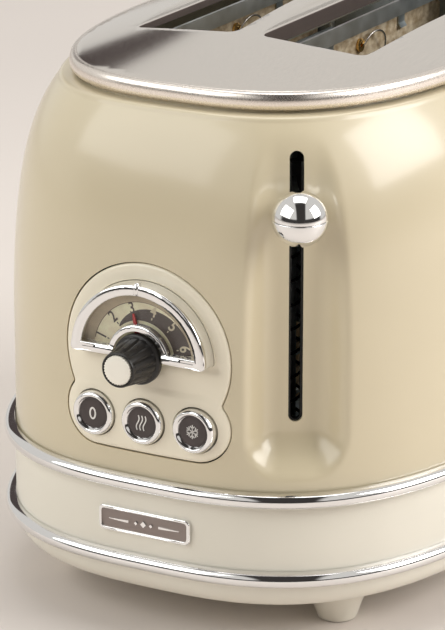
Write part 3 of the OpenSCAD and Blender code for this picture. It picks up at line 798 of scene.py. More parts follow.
# Painted shade: the flanges take a much darker copy of the lid's steel. Painted highlight: the rolled rim takes
# a paler, rougher copy.
lid.data.materials.append(brushed("slot_flange_painted_shade", srgb(128, 116, 112), 0.35, (1, 1, 60), 0.4, 0.5))
lid.data.materials.append(brushed("rolled_rim_painted_highlight", srgb(244, 236, 228), 0.3, (1, 120, 1), 0.25, 0.3))
# Upright flange faces get the painted shade, and rim faces below the crease the painted highlight.
for face in lid.data.polygons:
    x, y, z = face.center / MM
    in_width = abs(abs(x) - slot_centre) < slot_w / 2 + flange_margin
    in_slot = in_width and abs(y - mid_y) < slot_l / 2 + flange_margin
    if in_slot and abs(face.normal.z) < 0.4:
        face.material_index = 1
    elif not in_slot and z < crease_z - 0.05:
        face.material_index = 2

# %% [markdown]
# ## Base and trim rings
#
# The base is a moulded tub: a plain band between the two trim rings, and a lip that curls under below the
# lower one. The rings are half-round chrome strips that stand proud of the wall. All three are lofts of the
# oval.

# %% Base and rings
base_a, base_b = half("base_housing").x, half("base_housing").y
base_low, base_high = corners("base_housing")
lower_ring_z = centre("lower_trim_ring").z
ring_angles = even_angles(360)


def oval_ring(inset, z, half_x=base_a, half_y=base_b):
    return np.column_stack([oval(ring_angles, half_x - inset, half_y - inset), np.full(len(ring_angles), z)])


def trim_ring(name, node):
    low, high = corners(node)
    reach, tall = high.x - base_a, (high.z - low.z) / 2
    turns = np.radians(np.linspace(90, -90, 37))
    outer = [(-0.2 - (reach - 0.2) * max(0, math.cos(t)) ** 0.72, tall * math.sin(t)) for t in turns]
    skin = Skin()
    mid = (low.z + high.z) / 2
    skin.loft([oval_ring(inset, mid + z) for inset, z in [*outer, outer[0]]])
    return fit_out(skin.object(name, 60), "housing", "chrome_trim", stands_for=[node])


trim_ring("upper_trim", "upper_trim_ring")
trim_ring("lower_trim", "lower_trim_ring")

base_skin = Skin()
floor_z = base_low.z
curl = [
    (8.6 - 8.4 * math.sin(t) ** 0.9, floor_z + (lower_ring_z - 3.2 - floor_z) * (1 - math.cos(t)))
    for t in np.radians(np.linspace(0, 90, 14))
]
wall = [(0, lower_ring_z), (0, base_high.z - 0.5), (0.15, base_high.z - 0.15), (0.5, base_high.z)]
tub = [(2.5, base_high.z), (2.5, lower_ring_z), (8.5, floor_z + 2.8)]
base_rings = base_skin.loft([oval_ring(i, z) for i, z in curl + wall + tub])
base_skin.faces += [tuple(base_rings[0]), tuple(base_rings[-1])]
base = base_skin.object("base_moulding", 40)
door_low, door_high = corners("tray_handle")
door_gap = 0.5
door_w = 2 * (half("tray_handle").x + door_gap)
door_h = door_high.z - door_low.z + 2 * door_gap
door_cut = rounded_box(0, (door_low.z + door_high.z) / 2, door_w, door_h, 0.8, 4)
door_from, door_to = 90, 170
cut(base, prism("door_cutter", door_cut(0), mid_y + door_from, mid_y + door_to))
smooth(base, 40)
fit_out(base, "housing", "cream_base", stands_for=["base_housing"])

# %% [markdown]
# ## Turned pieces
#
# Feet, buttons, the lever's ball and the knob are all bodies of revolution. One helper turns a profile of
# radius and height into a mesh, either standing up or pointing out of the front. A wobble function changes
# the radius with the angle, which is how the knob gets its flutes.

# %% Turning helper
def turned(name, profile, origin, upright=False, segments=72, wobble=None, sharp=35.0):
    """profile lists (radius, height). Height runs up, or for a front piece backwards from its front."""
    skin = Skin()
    t = even_angles(segments)
    rings = []
    for radius, height in profile:
        r = radius * np.ones(segments) if wobble is None else wobble(t, radius, height)
        x, other = origin[0] + r * np.cos(t), r * np.sin(t)
        if upright:
            ring = [x, origin[1] + other, np.full(segments, origin[2] + height)]
        else:
            ring = [x, np.full(segments, origin[1] + height), origin[2] + other]
        rings.append(np.column_stack(ring))
    skin.loft(rings)
    return skin.object(name, sharp)


foot_top = floor_z
foot_x, foot_y = 52.0, 102.0
foot_centres = [(sx * foot_x, mid_y + sy * foot_y) for sx in (-1, 1) for sy in (-1, 1)]
foot_profile = [
    (0, 0.7), (5.55, 0.7), (5.7, 0.25), (6.4, 0.15), (6.95, 0.5), (7.35, 1.5), (8.7, 5.5), (10.2, 9.5),
    (11.9, foot_top - 0.6), (12.1, foot_top + 0.3), (0, foot_top + 0.3),
]
for number, (x, y) in enumerate(foot_centres):
    foot = turned(f"foot_{number + 1}", foot_profile, (x, y, 0), upright=True)
    fit_out(foot, "housing", "cream_base", stands_for=["feet"])

# %% [markdown]
# ## The fascia
#
# The fascia is one cream moulding that follows the curve of the body. Its edge is rounded, the lobes round
# the buttons stand a little higher than the dial's surround, and there is a soft dished seat for the chrome
# frame. All of that is a small relief added to the plate's face before it is bent onto the body.

# %% Fascia moulding
dial_r = half("dial_bezel").x
fascia_proud = shell_low.y - face_y
fascia_thick = 2.5
button_hole_r = 8.3
dial_base = 0.4


def bar_distance(points):
    """Distance outside the lobed bar's centre line."""
    x = np.maximum(0, np.abs(points[:, 0]) - button_pitch)
    return np.hypot(x, points[:, 1] - lobe_z)


def ease(x):
    x = np.clip(x, 0, 1)
    return x * x * (3 - 2 * x)


def fascia_relief(points):
    """How far the face stands out: the bar is raised, and the seat of the dial frame is sunk."""
    bar = 0.45 * ease((lobe_r - 0.5 - bar_distance(points)) / 1.1)
    from_dial = np.hypot(points[:, 0], np.maximum(0, points[:, 1] - dial_z + dial_base)) - dial_r
    below = np.maximum(from_dial, dial_z - dial_base - points[:, 1] - 0.2)
    seat = -0.55 * ease((2.4 - below) / 1.6)
    return bar + np.where(below < 2.4, seat, 0)


def on_fascia(points, drop):
    y = front_y(points[:, 0], points[:, 1], fascia_proud) + drop
    if drop < 0.05:
        y = y - fascia_relief(points)
    return np.column_stack([points[:, 0], y, points[:, 1]])


def moon(r, base, corner):
    """A half moon over the dial's base line, with rounded corners."""
    def shape(grow):
        z = corner - base
        x = math.sqrt((r - corner) ** 2 - z**2)
        lean = math.degrees(math.atan2(z, x))
        return np.vstack([
            arc(x, dial_z + z, corner + grow, -90, lean, 8),
            arc(0, dial_z, r + grow, lean, 180 - lean, 72)[1:-1],
            arc(-x, dial_z + z, corner + grow, 180 - lean, 270, 8),
        ])
    return shape


button_rim = rounded_rim(0.35, fascia_thick, 3)
button_holes = [(disc(k * button_pitch, button_z, button_hole_r), button_rim) for k in (-1, 0, 1)]
dial_rim = [(0.2, 0.0), (0.06, 0.08), (0.0, 0.3), (0.0, fascia_thick)]
dial_hole = (moon(dial_r - 0.64, dial_base - 0.34, 1.16), dial_rim)
fascia_edge = (fascia_shape, rounded_rim(1.0, fascia_thick, 5))
fascia = plate("fascia_moulding", on_fascia, fascia_edge, [dial_hole, *button_holes], step=1.3)
fit_out(fascia, "housing", "cream_fascia", stands_for=["control_fascia"])

# %% [markdown]
# ## The dial frame
#
# A chrome half moon, cast with a hub ring round the knob and a bar along its base. Light runs round it
# because its face is a convex band, so the relief here is a curve across the band, a half-round along the
# bar, and a flat cone on the hub. The arc of its front edge is drawn in a little, as a casting's draft
# does, and a thin side wall carries that edge on down into the fascia. A small ridge marks the middle of
# the scale.

# %% Dial frame
bezel_front = corners("dial_bezel")[0].y + 0.5
bezel_deep = corners("dial_bezel")[1].y - bezel_front
bezel_sheet = 3.4
window_r, hub_r, hub_bore = 22.5, 12.1, 9.5
window_base = 3.2


def bezel_shape(grow):
    """The frame's outline. Its arc may draw in by more than its base line and its notch do."""
    slim = max(grow, -0.4)
    corner = 1.5 + slim
    z = 1.5 - dial_base
    x = math.sqrt((dial_r + grow - corner) ** 2 - z**2)
    lean = math.degrees(math.atan2(z, x))
    notch = hub_bore - slim
    dip = math.degrees(math.asin((dial_base + slim) / notch))
    return np.vstack([
        arc(x, dial_z + z, corner, -90, lean, 8),
        arc(0, dial_z, dial_r + grow, lean, 180 - lean, 90)[1:-1],
        arc(-x, dial_z + z, corner, 180 - lean, 270, 8),
        arc(0, dial_z, notch, 180 + dip, -dip, 40),
    ])


def window_shape(grow):
    outer, inner = window_r + grow, hub_r - grow
    a = math.degrees(math.asin((window_base - grow) / outer))
    b = math.degrees(math.asin((window_base - grow) / inner))
    return np.vstack([arc(0, dial_z, outer, a, 180 - a, 72), arc(0, dial_z, inner, 180 - b, b, 48)])


def bezel_relief(points):
    """How far the frame's face lies behind its front."""
    r = np.hypot(points[:, 0], points[:, 1] - dial_z)
    z = points[:, 1] - dial_z
    band = 0.1 + 1.3 * ((r - 24.4) / 3.0) ** 2
    hub = 1.0 + 0.5 * ease((r - 11.5) / 0.7)
    bar = 0.25 + 0.9 * ((z - (window_base - dial_base) / 2) / 1.8) ** 2
    return np.minimum(np.where(r < window_r - 1, hub, band), np.where(z < window_base + 0.3, bar, 9.0))


def on_bezel(points, drop):
    """Small drops follow the relief, and larger ones are level."""
    down = bezel_relief(points) + drop if drop < 1 else drop
    return np.column_stack([points[:, 0], bezel_front + down * np.ones(len(points)), points[:, 1]])


bezel_edge = [(1.3, 0.0), (1.12, 0.06), (1.02, 0.22), (0.97, 0.5), (0.85, bezel_sheet)]
window_edge = [(0.4, 0.0), (0.18, 0.08), (0.05, 0.25), (0.0, 0.55), (0.0, bezel_sheet)]
bezel_outer, bezel_window = (bezel_shape, bezel_edge), (window_shape, window_edge)
bezel = plate("dial_frame", on_bezel, bezel_outer, [bezel_window], step=0.8, sharp=50)
fit_out(bezel, "housing", "chrome_trim", stands_for=["dial_bezel"])


def strip(name, outers, inners, front, back, sharp=40, lean=0.0):
    """A wall between two open lines, closed all round. lean sets its inner line further back."""
    skin = Skin()
    count = len(outers[0])
    rings = []
    for y, extra, outer, inner in ((front, lean, outers[0], inners[0]), (back, 0.0, outers[1], inners[1])):
        line = [(x, y, z) for x, z in outer] + [(x, y + extra, z) for x, z in inner[::-1]]
        rings.append(line)
    for ids in skin.loft(rings):
        skin.faces += [(ids[i], ids[i + 1], ids[-2 - i], ids[-1 - i]) for i in range(count - 1)]
    return skin.object(name, sharp)


def side_line(grow):
    return bezel_shape(grow)[:8 + 88 + 8]


skirt_outers = (side_line(-0.85), side_line(-0.7))
skirt_inners = (side_line(-1.6), side_line(-1.5))
skirt_ends = (bezel_front + bezel_sheet, bezel_front + bezel_deep)
skirt = strip("dial_frame_side", skirt_outers, skirt_inners, *skirt_ends)
fit_out(skirt, "housing", "chrome_trim")

ridge_half, ridge_low, ridge_high = 0.85, window_r + 0.1, dial_r - 0.1
ridge_skin = Skin()
ridge_sections = []
ridge_run = [(ridge_low, 1.0), (ridge_low + 0.5, 0.3), (24.6, 0.0), (ridge_high - 0.5, 0.5), (ridge_high, 1.3)]
ridge_profile = [(-1, 2.2), (-1, 0.5), (-0.6, 0.1), (0.6, 0.1), (1, 0.5), (1, 2.2)]
for z, lift in ridge_run:
    y = corners("dial_bezel")[0].y + lift
    ridge_sections.append([(x * ridge_half, y + dip, dial_z + z) for x, dip in ridge_profile])
ridge_ids = ridge_skin.loft(ridge_sections)
ridge_skin.faces += [tuple(ridge_ids[0]), tuple(ridge_ids[-1])]
fit_out(ridge_skin.object("dial_ridge", 50), "housing", "chrome_trim")

# %% [markdown]
# ### Lens, scale card and print
#
# Behind the lens lies a cream card with a raised wall round it. The wall is coloured a darker brown-grey,
# and a dark line runs along its foot on the card: the wall's colour is painted shadow of the frame's rim,
# and the line is painted shade in the crease. A dark crescent on the card grows from the light settings to
# the dark ones, which is how such a dial shows more heat, and the digits change from dark to light where
# they cross it. The print is real geometry, a few hundredths of a millimetre thick, so that it stays crisp
# up close. The crescent has no back of its own, because it lies on the card.

# %% Lens and scale card
lens_y = corners("dial_lens")[0].y
card_y = corners("dial_plate")[0].y


def upright_at(y):
    """Places flat points in the plane y, a drop behind it."""
    return lambda points, drop: np.column_stack([points[:, 0], np.full(len(points), y + drop), points[:, 1]])


lens_edge = (lambda grow: window_shape(grow - 0.12), rounded_rim(0.2, 0.8, 2))
lens = plate("lens_pane", upright_at(lens_y), lens_edge, step=4.0)
fit_out(lens, "housing", "clear_lens", stands_for=["dial_lens"])
card = plate("scale_card", upright_at(card_y), (moon(window_r + 1.9, -0.7, 1.0), rounded_rim(0.2, 1.0, 2)),
             [(disc(0, dial_z, 7.5), [(0, 0), (0, 1.0)])], step=4.0)
fit_out(card, "housing", "printed_scale", stands_for=["dial_plate"])


def collar_line(r):
    """The arc of radius r over the window, from base to base."""
    a = math.degrees(math.asin((window_base - 0.6) / r))
    return arc(0, dial_z, r, a, 180 - a, 72)


# Painted shadow: the wall round the card is coloured darker than the card, for the shadow of the frame's rim.
shade = satin_plastic("scale_wall_painted_shadow", srgb(196, 182, 160), 0.5)
# Painted shade: a dark line along the foot of the wall, in the crease where it meets the card.
crease_shade_line = satin_plastic("crease_shade_line", srgb(120, 108, 98), 0.5)
collar_front = bezel_front + bezel_sheet + 0.05
collar_r = 19.4
collar_outers = [collar_line(window_r + 1.2)] * 2
collar_inners = [collar_line(collar_r)] * 2
collar_lean = card_y - 0.2 - collar_front
collar = strip("scale_collar", collar_outers, collar_inners, collar_front, card_y - 0.01, lean=collar_lean)
fit_out(collar, "housing", "printed_scale", shade)

# %% Printed crescent, ticks and digits
print_thick = 0.05
dark_ink = satin_plastic("dark_ink", srgb(92, 82, 80), 0.5)
light_ink = satin_plastic("light_ink", srgb(226, 216, 192), 0.5)
first_angle, angle_step = 162.4, 29
digit_angles = {number: first_angle - angle_step * (number - 1) for number in range(1, 7)}
digit_r, digit_size, digit_weight, digit_narrow = 17.1, 5.9, 0.1, 0.8
tick_radii, tick_width = (13.9, 14.3, 14.7), 0.42


def polar(r, degrees):
    return np.array([r * math.cos(math.radians(degrees)), dial_z + r * math.sin(math.radians(degrees))])


def crescent(grow):
    """Thin at the light end, and as wide as the scale at the dark end."""
    start, end, count = 134.0, 9.0, 50
    share = np.linspace(0, 1, count)
    degrees = start + (end - start) * share
    outer_r = 13.4 + 5.9 * np.sin(share * math.pi / 2) ** 0.85
    top = np.array([polar(r, d) for r, d in zip(outer_r, degrees)])
    under = np.array([polar(12.9 - 0.5 * s, d) for s, d in zip(share[::-1], degrees[::-1])])
    return np.vstack([top, under])


crescent_edge = (crescent, [(0, 0), (0, print_thick)])
crescent_piece = plate("scale_crescent", upright_at(card_y - print_thick), crescent_edge, step=3.0, back=False)
fit_out(crescent_piece, "housing", "printed_scale", dark_ink)


def ribbon(name, paths, width, y, thick=print_thick):
    """Flat strokes of a printed line, in the plane y."""
    skin = Skin()
    for path in paths:
        path = np.asarray(path, float)
        way = np.gradient(path, axis=0)
        way /= np.linalg.norm(way, axis=1)[:, None]
        side = np.column_stack([-way[:, 1], way[:, 0]]) * width / 2
        left, right = path + side, path - side
        lines = [np.column_stack([p[:, 0], np.full(len(p), d), p[:, 1]]) for p, d in
                 [(left, y), (left, y - thick), (right, y - thick), (right, y)]]
        ids = skin.loft([np.array(section) for section in zip(*lines)])
        skin.faces += [tuple(ids[0]), tuple(ids[-1])]
    return skin.object(name, 50)


def digit(number, ink, y):
    """A figure of the scale, turned so that its foot points at the knob."""
    name = f"digit_{number}"
    words = bpy.data.curves.new(name, "FONT")
    words.body = str(number)
    words.size = digit_size
    words.align_x, words.align_y = "CENTER", "CENTER"
    words.extrude = print_thick / 2
    words.offset = digit_weight
    source = bpy.data.objects.new(f"{name}_source", words)
    bpy.context.scene.collection.objects.link(source)
    bpy.context.view_layer.update()
    mesh = bpy.data.meshes.new_from_object(source.evaluated_get(bpy.context.evaluated_depsgraph_get()))
    bpy.data.objects.remove(source)
    turn = math.radians(digit_angles[number] - 90)
    at = polar(digit_r, digit_angles[number])
    for point in mesh.vertices:
        x, z, lift = digit_narrow * point.co.x, point.co.y, point.co.z
        across = at[0] + x * math.cos(turn) - z * math.sin(turn)
        up = at[1] + x * math.sin(turn) + z * math.cos(turn)
        point.co = Vector((across, y - print_thick / 2 - lift, up)) * MM
    made = bpy.data.objects.new(name, mesh)
    bpy.context.scene.collection.objects.link(made)
    return fit_out(made, "housing", "printed_scale", ink)


for number, degrees in digit_angles.items():
    ink = light_ink if number > 3 else dark_ink
    digit(number, ink, card_y - print_thick)
    tick_line = [polar(r, degrees) for r in tick_radii]
    tick = ribbon(f"tick_{number}", [tick_line], tick_width, card_y - print_thick)
    fit_out(tick, "housing", "printed_scale", ink)

# The dark line at the foot of the wall is painted crease shade, not print.
arc_line = [polar(collar_r - 0.1, d) for d in np.linspace(12, 168, 60)]
fit_out(ribbon("scale_crease_shade", [arc_line], 0.25, card_y - 0.02), "housing", "printed_scale", crease_shade_line)

# %% [markdown]
# ### The pointer
#
# A red needle turns with the knob on a small hub, behind the frame's hub ring. It rides on the dial's body,
# so it swings across the scale when the knob turns.

# %% Pointer
pointer_y = corners("dial_pointer")[0].y
pointer_turn = 102.0
pointer_hub, needle_tip = 5.0, 15.4
needle_skin = Skin()
lean = math.degrees(math.atan2(0.9, 4.9))
hub_arc = [polar(pointer_hub, pointer_turn + d) for d in np.linspace(lean, 360 - lean, 40)]
arm = [(11.0, -4.2), (needle_tip - 0.2, -1.3), (needle_tip, 0), (needle_tip - 0.2, 1.3), (11.0, 4.2)]
needle_outline = np.array(hub_arc + [polar(r, pointer_turn + d) for r, d in arm])
needle_ids = needle_skin.loft([upright_at(pointer_y)(needle_outline, drop) for drop in (0.0, 0.6)])
needle_skin.faces += [tuple(needle_ids[0]), tuple(needle_ids[1])]
fit_out(needle_skin.object("pointer_needle", 30), "dial", "pointer_red", stands_for=["dial_pointer"])

# %% [markdown]
# ## The knob
#
# A black phenolic knob with a thin skirt, shallow flutes that fade in above the skirt, and a cream disc let
# into its end. The disc's edge is finely scalloped. Both are turned, with a wobble for the flutes and the
# scallops.

# %% Knob and cap
knob_high = corners("browning_knob")[1]
knob_front = corners("knob_cap")[0].y
knob_long = knob_high.y - knob_front
flutes = 14


def fluted(t, radius, height):
    """Flutes on the tapered part only: deepest in the middle, and gone at the skirt and at the nose."""
    along = height / knob_long
    depth = 0.5 * ease((along - 0.06) / 0.12) * ease((0.86 - along) / 0.08)
    on_body = 1.0 if radius > 6.0 else 0.0
    return radius - on_body * depth * np.maximum(0, np.cos(flutes * t)) ** 2


def scalloped(t, radius, height):
    return radius + (0.14 * np.cos(32 * t) if radius > 4.8 else 0)


taper = [(6.25 + 1.75 * k / 14, 1.0 + (knob_long - 3.2) * k / 14) for k in range(15)]
knob_profile = [
    (0, 1.2), (5.45, 1.2), (5.55, 0.5), (5.75, 0.28), (5.95, 0.35), (6.2, 0.6), *taper,
    (8.35, knob_long - 2.1), (8.75, knob_long - 1.95), (8.95, knob_long - 1.7), (9.0, knob_long - 1.3),
    (9.0, knob_long), (3.0, knob_long), (3.0, 4.0), (0, 4.0),
]
knob = turned("knob_grip", knob_profile, (0, knob_front, dial_z), segments=168, wobble=fluted, sharp=45)
fit_out(knob, "dial", "black_knob", stands_for=["browning_knob"])
cap_profile = [(0, 0.02), (3.0, 0.04), (4.8, 0.1), (5.15, 0.3), (5.2, 1.1), (0, 1.1)]
cap = turned("knob_disc", cap_profile, (0, knob_front, dial_z), segments=192, wobble=scalloped, sharp=50)
fit_out(cap, "dial", "cream_fascia", moulded("knob_cream", srgb(252, 248, 236)), stands_for=["knob_cap"])

# %% [markdown]
# ## The buttons
#
# Each button is a polished collar with a sloping face, round a dark disc with a white symbol. The symbols
# are plain signs: a nought to stop, three waves of heat, and an ice crystal. They are ribbons, raised like
# a print.

# %% Button collars and faces
symbol_ink = satin_plastic("symbol_ink", srgb(236, 234, 230), 0.45)
button_xs = {"cancel": -button_pitch, "reheat": 0.0, "defrost": button_pitch}
button_r, face_r = 8.0, 5.65


def symbol_paths(kind, x):
    at = np.array([x, button_z])
    if kind == "cancel":
        t = np.linspace(0, 2 * math.pi, 41)
        return [at + np.column_stack([1.05 * np.cos(t), 1.95 * np.sin(t)])]
    if kind == "reheat":
        s = np.linspace(-1, 1, 25)
        wave = np.column_stack([0.42 * np.sin(s * math.pi) + 0.25 * s, 2.7 * s])
        return [at + wave + (shift, 0) for shift in (-1.35, 0, 1.35)]
    arms = []
    for degrees in range(0, 360, 60):
        c, s = math.cos(math.radians(degrees)), math.sin(math.radians(degrees))
        turn = np.array([[c, s], [-s, c]])
        arms.append(at + np.array([(0, 0), (0, 1.2), (0, 2.5)]) @ turn)
        for side in (-1, 1):
            arms.append(at + np.array([(0, 1.2), (side * 0.45, 1.65), (side * 0.85, 2.05)]) @ turn)
    return arms


symbol_width = {"cancel": 0.62, "reheat": 0.42, "defrost": 0.36}
for kind, x in button_xs.items():
    front = corners(f"{kind}_button")[0].y
    back = corners(f"{kind}_button")[1].y - front
    collar = [
        (0, 1.6), (5.72, 1.6), (face_r, 0.95), (face_r + 0.15, 0.78), (5.95, 0.62), (6.15, 0.25), (6.45, 0.05),
        (6.8, 0.0), (7.2, 0.16), (7.6, 0.55), (7.86, 1.1), (7.97, 1.7), (button_r, 2.3), (button_r, 6.6),
        (9.3, 6.6), (9.3, 7.4), (2.8, 7.4), (2.8, back), (0, back),
    ]
    ring = turned(f"{kind}_collar", collar, (x, front, button_z), segments=96, sharp=40)
    fit_out(ring, kind, "chrome_trim", stands_for=[f"{kind}_button"])
    face = [(0, 0.95), (3.6, 0.98), (4.6, 1.02), (5.2, 1.1), (5.52, 1.25), (5.6, 1.55), (0, 1.55)]
    disc_face = turned(f"{kind}_face", face, (x, front, button_z), segments=96, sharp=40)
    fit_out(disc_face, kind, "button_face", stands_for=[f"{kind}_cap"])
    sign = ribbon(f"{kind}_symbol", symbol_paths(kind, x), symbol_width[kind], front + 0.97, 0.07)
    fit_out(sign, kind, "button_face", symbol_ink)

# %% [markdown]
# ## The lever's ball
#
# Two chromed half shells meet at a seam. The seam has to be a real groove, because on a mirror finish only
# geometry shows: each half ends in a small rounded shoulder.

# %% Ball
ball_low, ball_high = corners("lever_knob_lower")[0], corners("lever_knob_upper")[1]
ball_r = (ball_high.z - ball_low.z) / 2
ball_at = Vector([(one + two) / 2 for one, two in zip(ball_low, ball_high)])
ball_turns = np.radians(np.linspace(90, 2.2, 26))
seam = [(0.04, 0.22), (0.13, 0.1), (0.35, 0.05), (ball_r, 0.05)]
for name, node, way in [("ball_upper", "lever_knob_upper", 1), ("ball_lower", "lever_knob_lower", -1)]:
    half_ball = [(ball_r * math.cos(t), way * ball_r * math.sin(t)) for t in ball_turns]
    half_ball += [(ball_r - inset, way * up) for inset, up in seam]
    ball = turned(name, half_ball, ball_at, upright=True, segments=96, sharp=50)
    fit_out(ball, "carriage", "chrome_trim", stands_for=[node])

# %% [markdown]
# ## The badge
#
# A small plate with a polished raised frame round a darker satin field. It carries a plain ornament and no
# words. The frame is a plate with a hole, the field is a second plate behind it, and both follow the curve
# of the base.

# %% Badge
badge_low, badge_high = corners("badge_plate")
badge_at = (0.0, (badge_low.z + badge_high.z) / 2)
badge_w, badge_h = badge_high.x - badge_low.x, badge_high.z - badge_low.z
badge_thick = 1.42


def base_front(x, off):
    """Y of the base's front at x, off millimetres outside it."""
    return oval_front(x, base_a + off, base_b + off)


def on_badge(points, drop):
    return np.column_stack([points[:, 0], base_front(points[:, 0], 1.5) + drop, points[:, 1]])


def on_field(points, drop):
    return np.column_stack([points[:, 0], base_front(points[:, 0], 0.9) + drop, points[:, 1]])


frame_shape = rounded_box(*badge_at, badge_w, badge_h, 2.0)
field_shape = rounded_box(*badge_at, badge_w - 2.4, badge_h - 2.4, 1.2)
frame_outer = (frame_shape, rounded_rim(0.45, badge_thick, 4))
frame_inner = (field_shape, rounded_rim(0.25, badge_thick, 3))
badge_frame = plate("badge_frame", on_badge, frame_outer, [frame_inner], step=0.5)
fit_out(badge_frame, "housing", "badge_metal", stands_for=["badge_plate"])
badge_field_finish = brushed("badge_field", srgb(150, 140, 136), 0.25, (12, 1, 1), 0.35, 0.5, 0.006)
badge_field = plate("badge_field", on_field, (lambda g: field_shape(g + 0.3), [(0, 0), (0, 0.6)]), step=1.5)
fit_out(badge_field, "housing", "badge_metal", badge_field_finish)


def ornament():
    """Two tapered bars on either side of three lozenges."""
    shapes = []
    cx, cz = badge_at
    for k, size in ((-1, 0.8), (0, 1.35), (1, 0.8)):
        x = cx + 3.0 * k
        shapes.append([(x - size, cz), (x, cz - size), (x + size, cz), (x, cz + size)])
    for side in (-1, 1):
        near, far = cx + side * 6.0, cx + side * 14.0
        shapes.append([(near, cz - 0.45), (far, cz - 0.12), (far, cz + 0.12), (near, cz + 0.45)])
    return [np.array(s) for s in shapes]


ornament_skin = Skin()
for outline in ornament():
    sides = zip(outline, np.roll(outline, -1, axis=0))
    fine = np.vstack([np.linspace(p, q, 6, endpoint=False) for p, q in sides])
    middle = fine.mean(axis=0)
    top = middle + (fine - middle) * 0.86
    ids = ornament_skin.loft([on_field(top, -0.42), on_field(fine, -0.25), on_field(fine, 0.1)])
    ornament_skin.faces += [tuple(ids[0]), tuple(ids[-1])]
fit_out(ornament_skin.object("badge_ornament", 30), "housing", "badge_metal")

# %% [markdown]
# ## Inside the slots
#
# Looking down past the lid, the eye meets the guide rails, the mica boards and a few leads of heater wire
# that loop from one eyelet to the next. The boards and rails are CAD nodes with a better finish. The leads
# and the folded clips that hold the boards are added here. A lead is a curve with a round bevel, turned into
# a mesh, and a clip is its folded section, lofted along its width.

# %% Heater leads and clips
eyelet_z = centre("terminal_eyelets").z
eyelet_low, eyelet_high = corners("terminal_eyelets")
eyelet_ys = (eyelet_low.y + 2.6, eyelet_high.y - 2.6)
board_xs = [centre(f"{side}_element_board").x for side in ("left", "centre", "right")]


def wire(name, points, thickness):
    """A round wire along smooth points, as a mesh."""
    curve = bpy.data.curves.new(name, "CURVE")
    curve.dimensions = "3D"
    curve.bevel_depth = thickness / 2 * MM
    curve.bevel_resolution = 3
    curve.use_fill_caps = True
    line = curve.splines.new("NURBS")
    line.points.add(len(points) - 1)
    for target, p in zip(line.points, points):
        target.co = (*(c * MM for c in p), 1)
    line.order_u = 4
    line.use_endpoint_u = True
    source = bpy.data.objects.new(name, curve)
    bpy.context.scene.collection.objects.link(source)
    bpy.context.view_layer.update()
    mesh = bpy.data.meshes.new_from_object(source.evaluated_get(bpy.context.evaluated_depsgraph_get()))
    bpy.data.objects.remove(source)
    made = bpy.data.objects.new(name, mesh)
    bpy.context.scene.collection.objects.link(made)
    smooth(made, 60)
    return fit_out(made, "housing", "heater_ribbon", bright_wire)


bright_wire = cloudy_metal("bright_wire", (0.5, 0.47, 0.44), (0.8, 0.77, 0.72), 1.0, 0.15, 0.3)
lead_thick = 0.8
side_letter = {-1: "l", 1: "r"}
for board, x in enumerate(board_xs):
    for side in (-1, 1):
        for k, y in enumerate(eyelet_ys):
            out = x + side * 1.9
            loop = [
                (out, y + 1.5, eyelet_z), (out + side * 1.2, y + 5, eyelet_z + 4.5),
                (out + side * 2.4, y + 11, eyelet_z + 4.5), (out + side * 2.0, y + 16, eyelet_z + 1),
                (out + side * 0.4, y + 19, eyelet_z - 4), (x + side * 0.9, y + 19.5, eyelet_z - 8),
            ]
            wire(f"lead_{board + 1}_{side_letter[side]}_{k + 1}", loop, lead_thick)


def clip(name, x, y, side):
    """A folded tab of the board's edge clip: down the face, with a lip at its foot."""
    skin = Skin()
    wide, top = 5.0, eyelet_z + 8.4
    fold = [(0.75, 0.0), (1.3, -0.6), (1.3, -6.5), (2.4, -8.3), (2.0, -8.5), (0.85, -6.8), (0.75, -1.0)]
    ends = []
    for end in (-1, 1):
        ends.append([(x + side * out, y + end * wide / 2, top + z) for out, z in fold])
    ids = skin.loft(ends)
    skin.faces += [tuple(ids[0]), tuple(ids[1])]
    return fit_out(skin.object(name, 30), "housing", "zinc_steel")


clip_ys = (mid_y - 62, mid_y - 12, mid_y + 48)
for board, x in enumerate(board_xs):
    for side in (-1, 1):
        for k, y in enumerate(clip_ys):
            clip(f"clip_{board + 1}_{side_letter[side]}_{k + 1}", x, y, side)

# %% [markdown]
# ## CAD pieces that stay in view
#
# Wires, rails, racks, the tray and the workings keep their CAD meshes. They only need smooth shading with
# sharp corners kept, which doesn't touch their points.

# %% Shade the CAD pieces
for name, node in frame["nodes"].items():
    if not node.hide_render:
        smooth(node, 30)
print("CAD nodes in view:", sum(not n.hide_render for n in frame["nodes"].values()))

# %% [markdown]
# ## Floor, light and camera
#
# The toaster stands on a plain pale sweep. Chrome shows the room, so the room is what is lit: a broad soft
# light to the left, a stronger one to the right and a faint one overhead. The room behind is pale. In front
# it is dark low down and in one upright strip towards the viewer, and that puts the dark bands in the
# chrome and gives the enamel its falling shade. A small dark flag, high behind on the left, gives the lid a
# dark end to mirror.

# %% Floor
floor_mesh = bpy.data.meshes.new("floor")
floor_half = 6.0
floor_corners = [(x * floor_half, y * floor_half, 0) for x, y in [(-1, -1), (1, -1), (1, 1), (-1, 1)]]
floor_mesh.from_pydata(floor_corners, [], [(0, 1, 2, 3)])
floor = bpy.data.objects.new("floor", floor_mesh)
bpy.context.scene.collection.objects.link(floor)
paper = finish("sweep_paper", srgb(222, 214, 208), roughness=0.6)
tint(paper, grain(paper, 400), srgb(219, 211, 205), srgb(225, 217, 211))
floor.data.materials.append(paper)
print("floor:", 2 * floor_half, "m across")

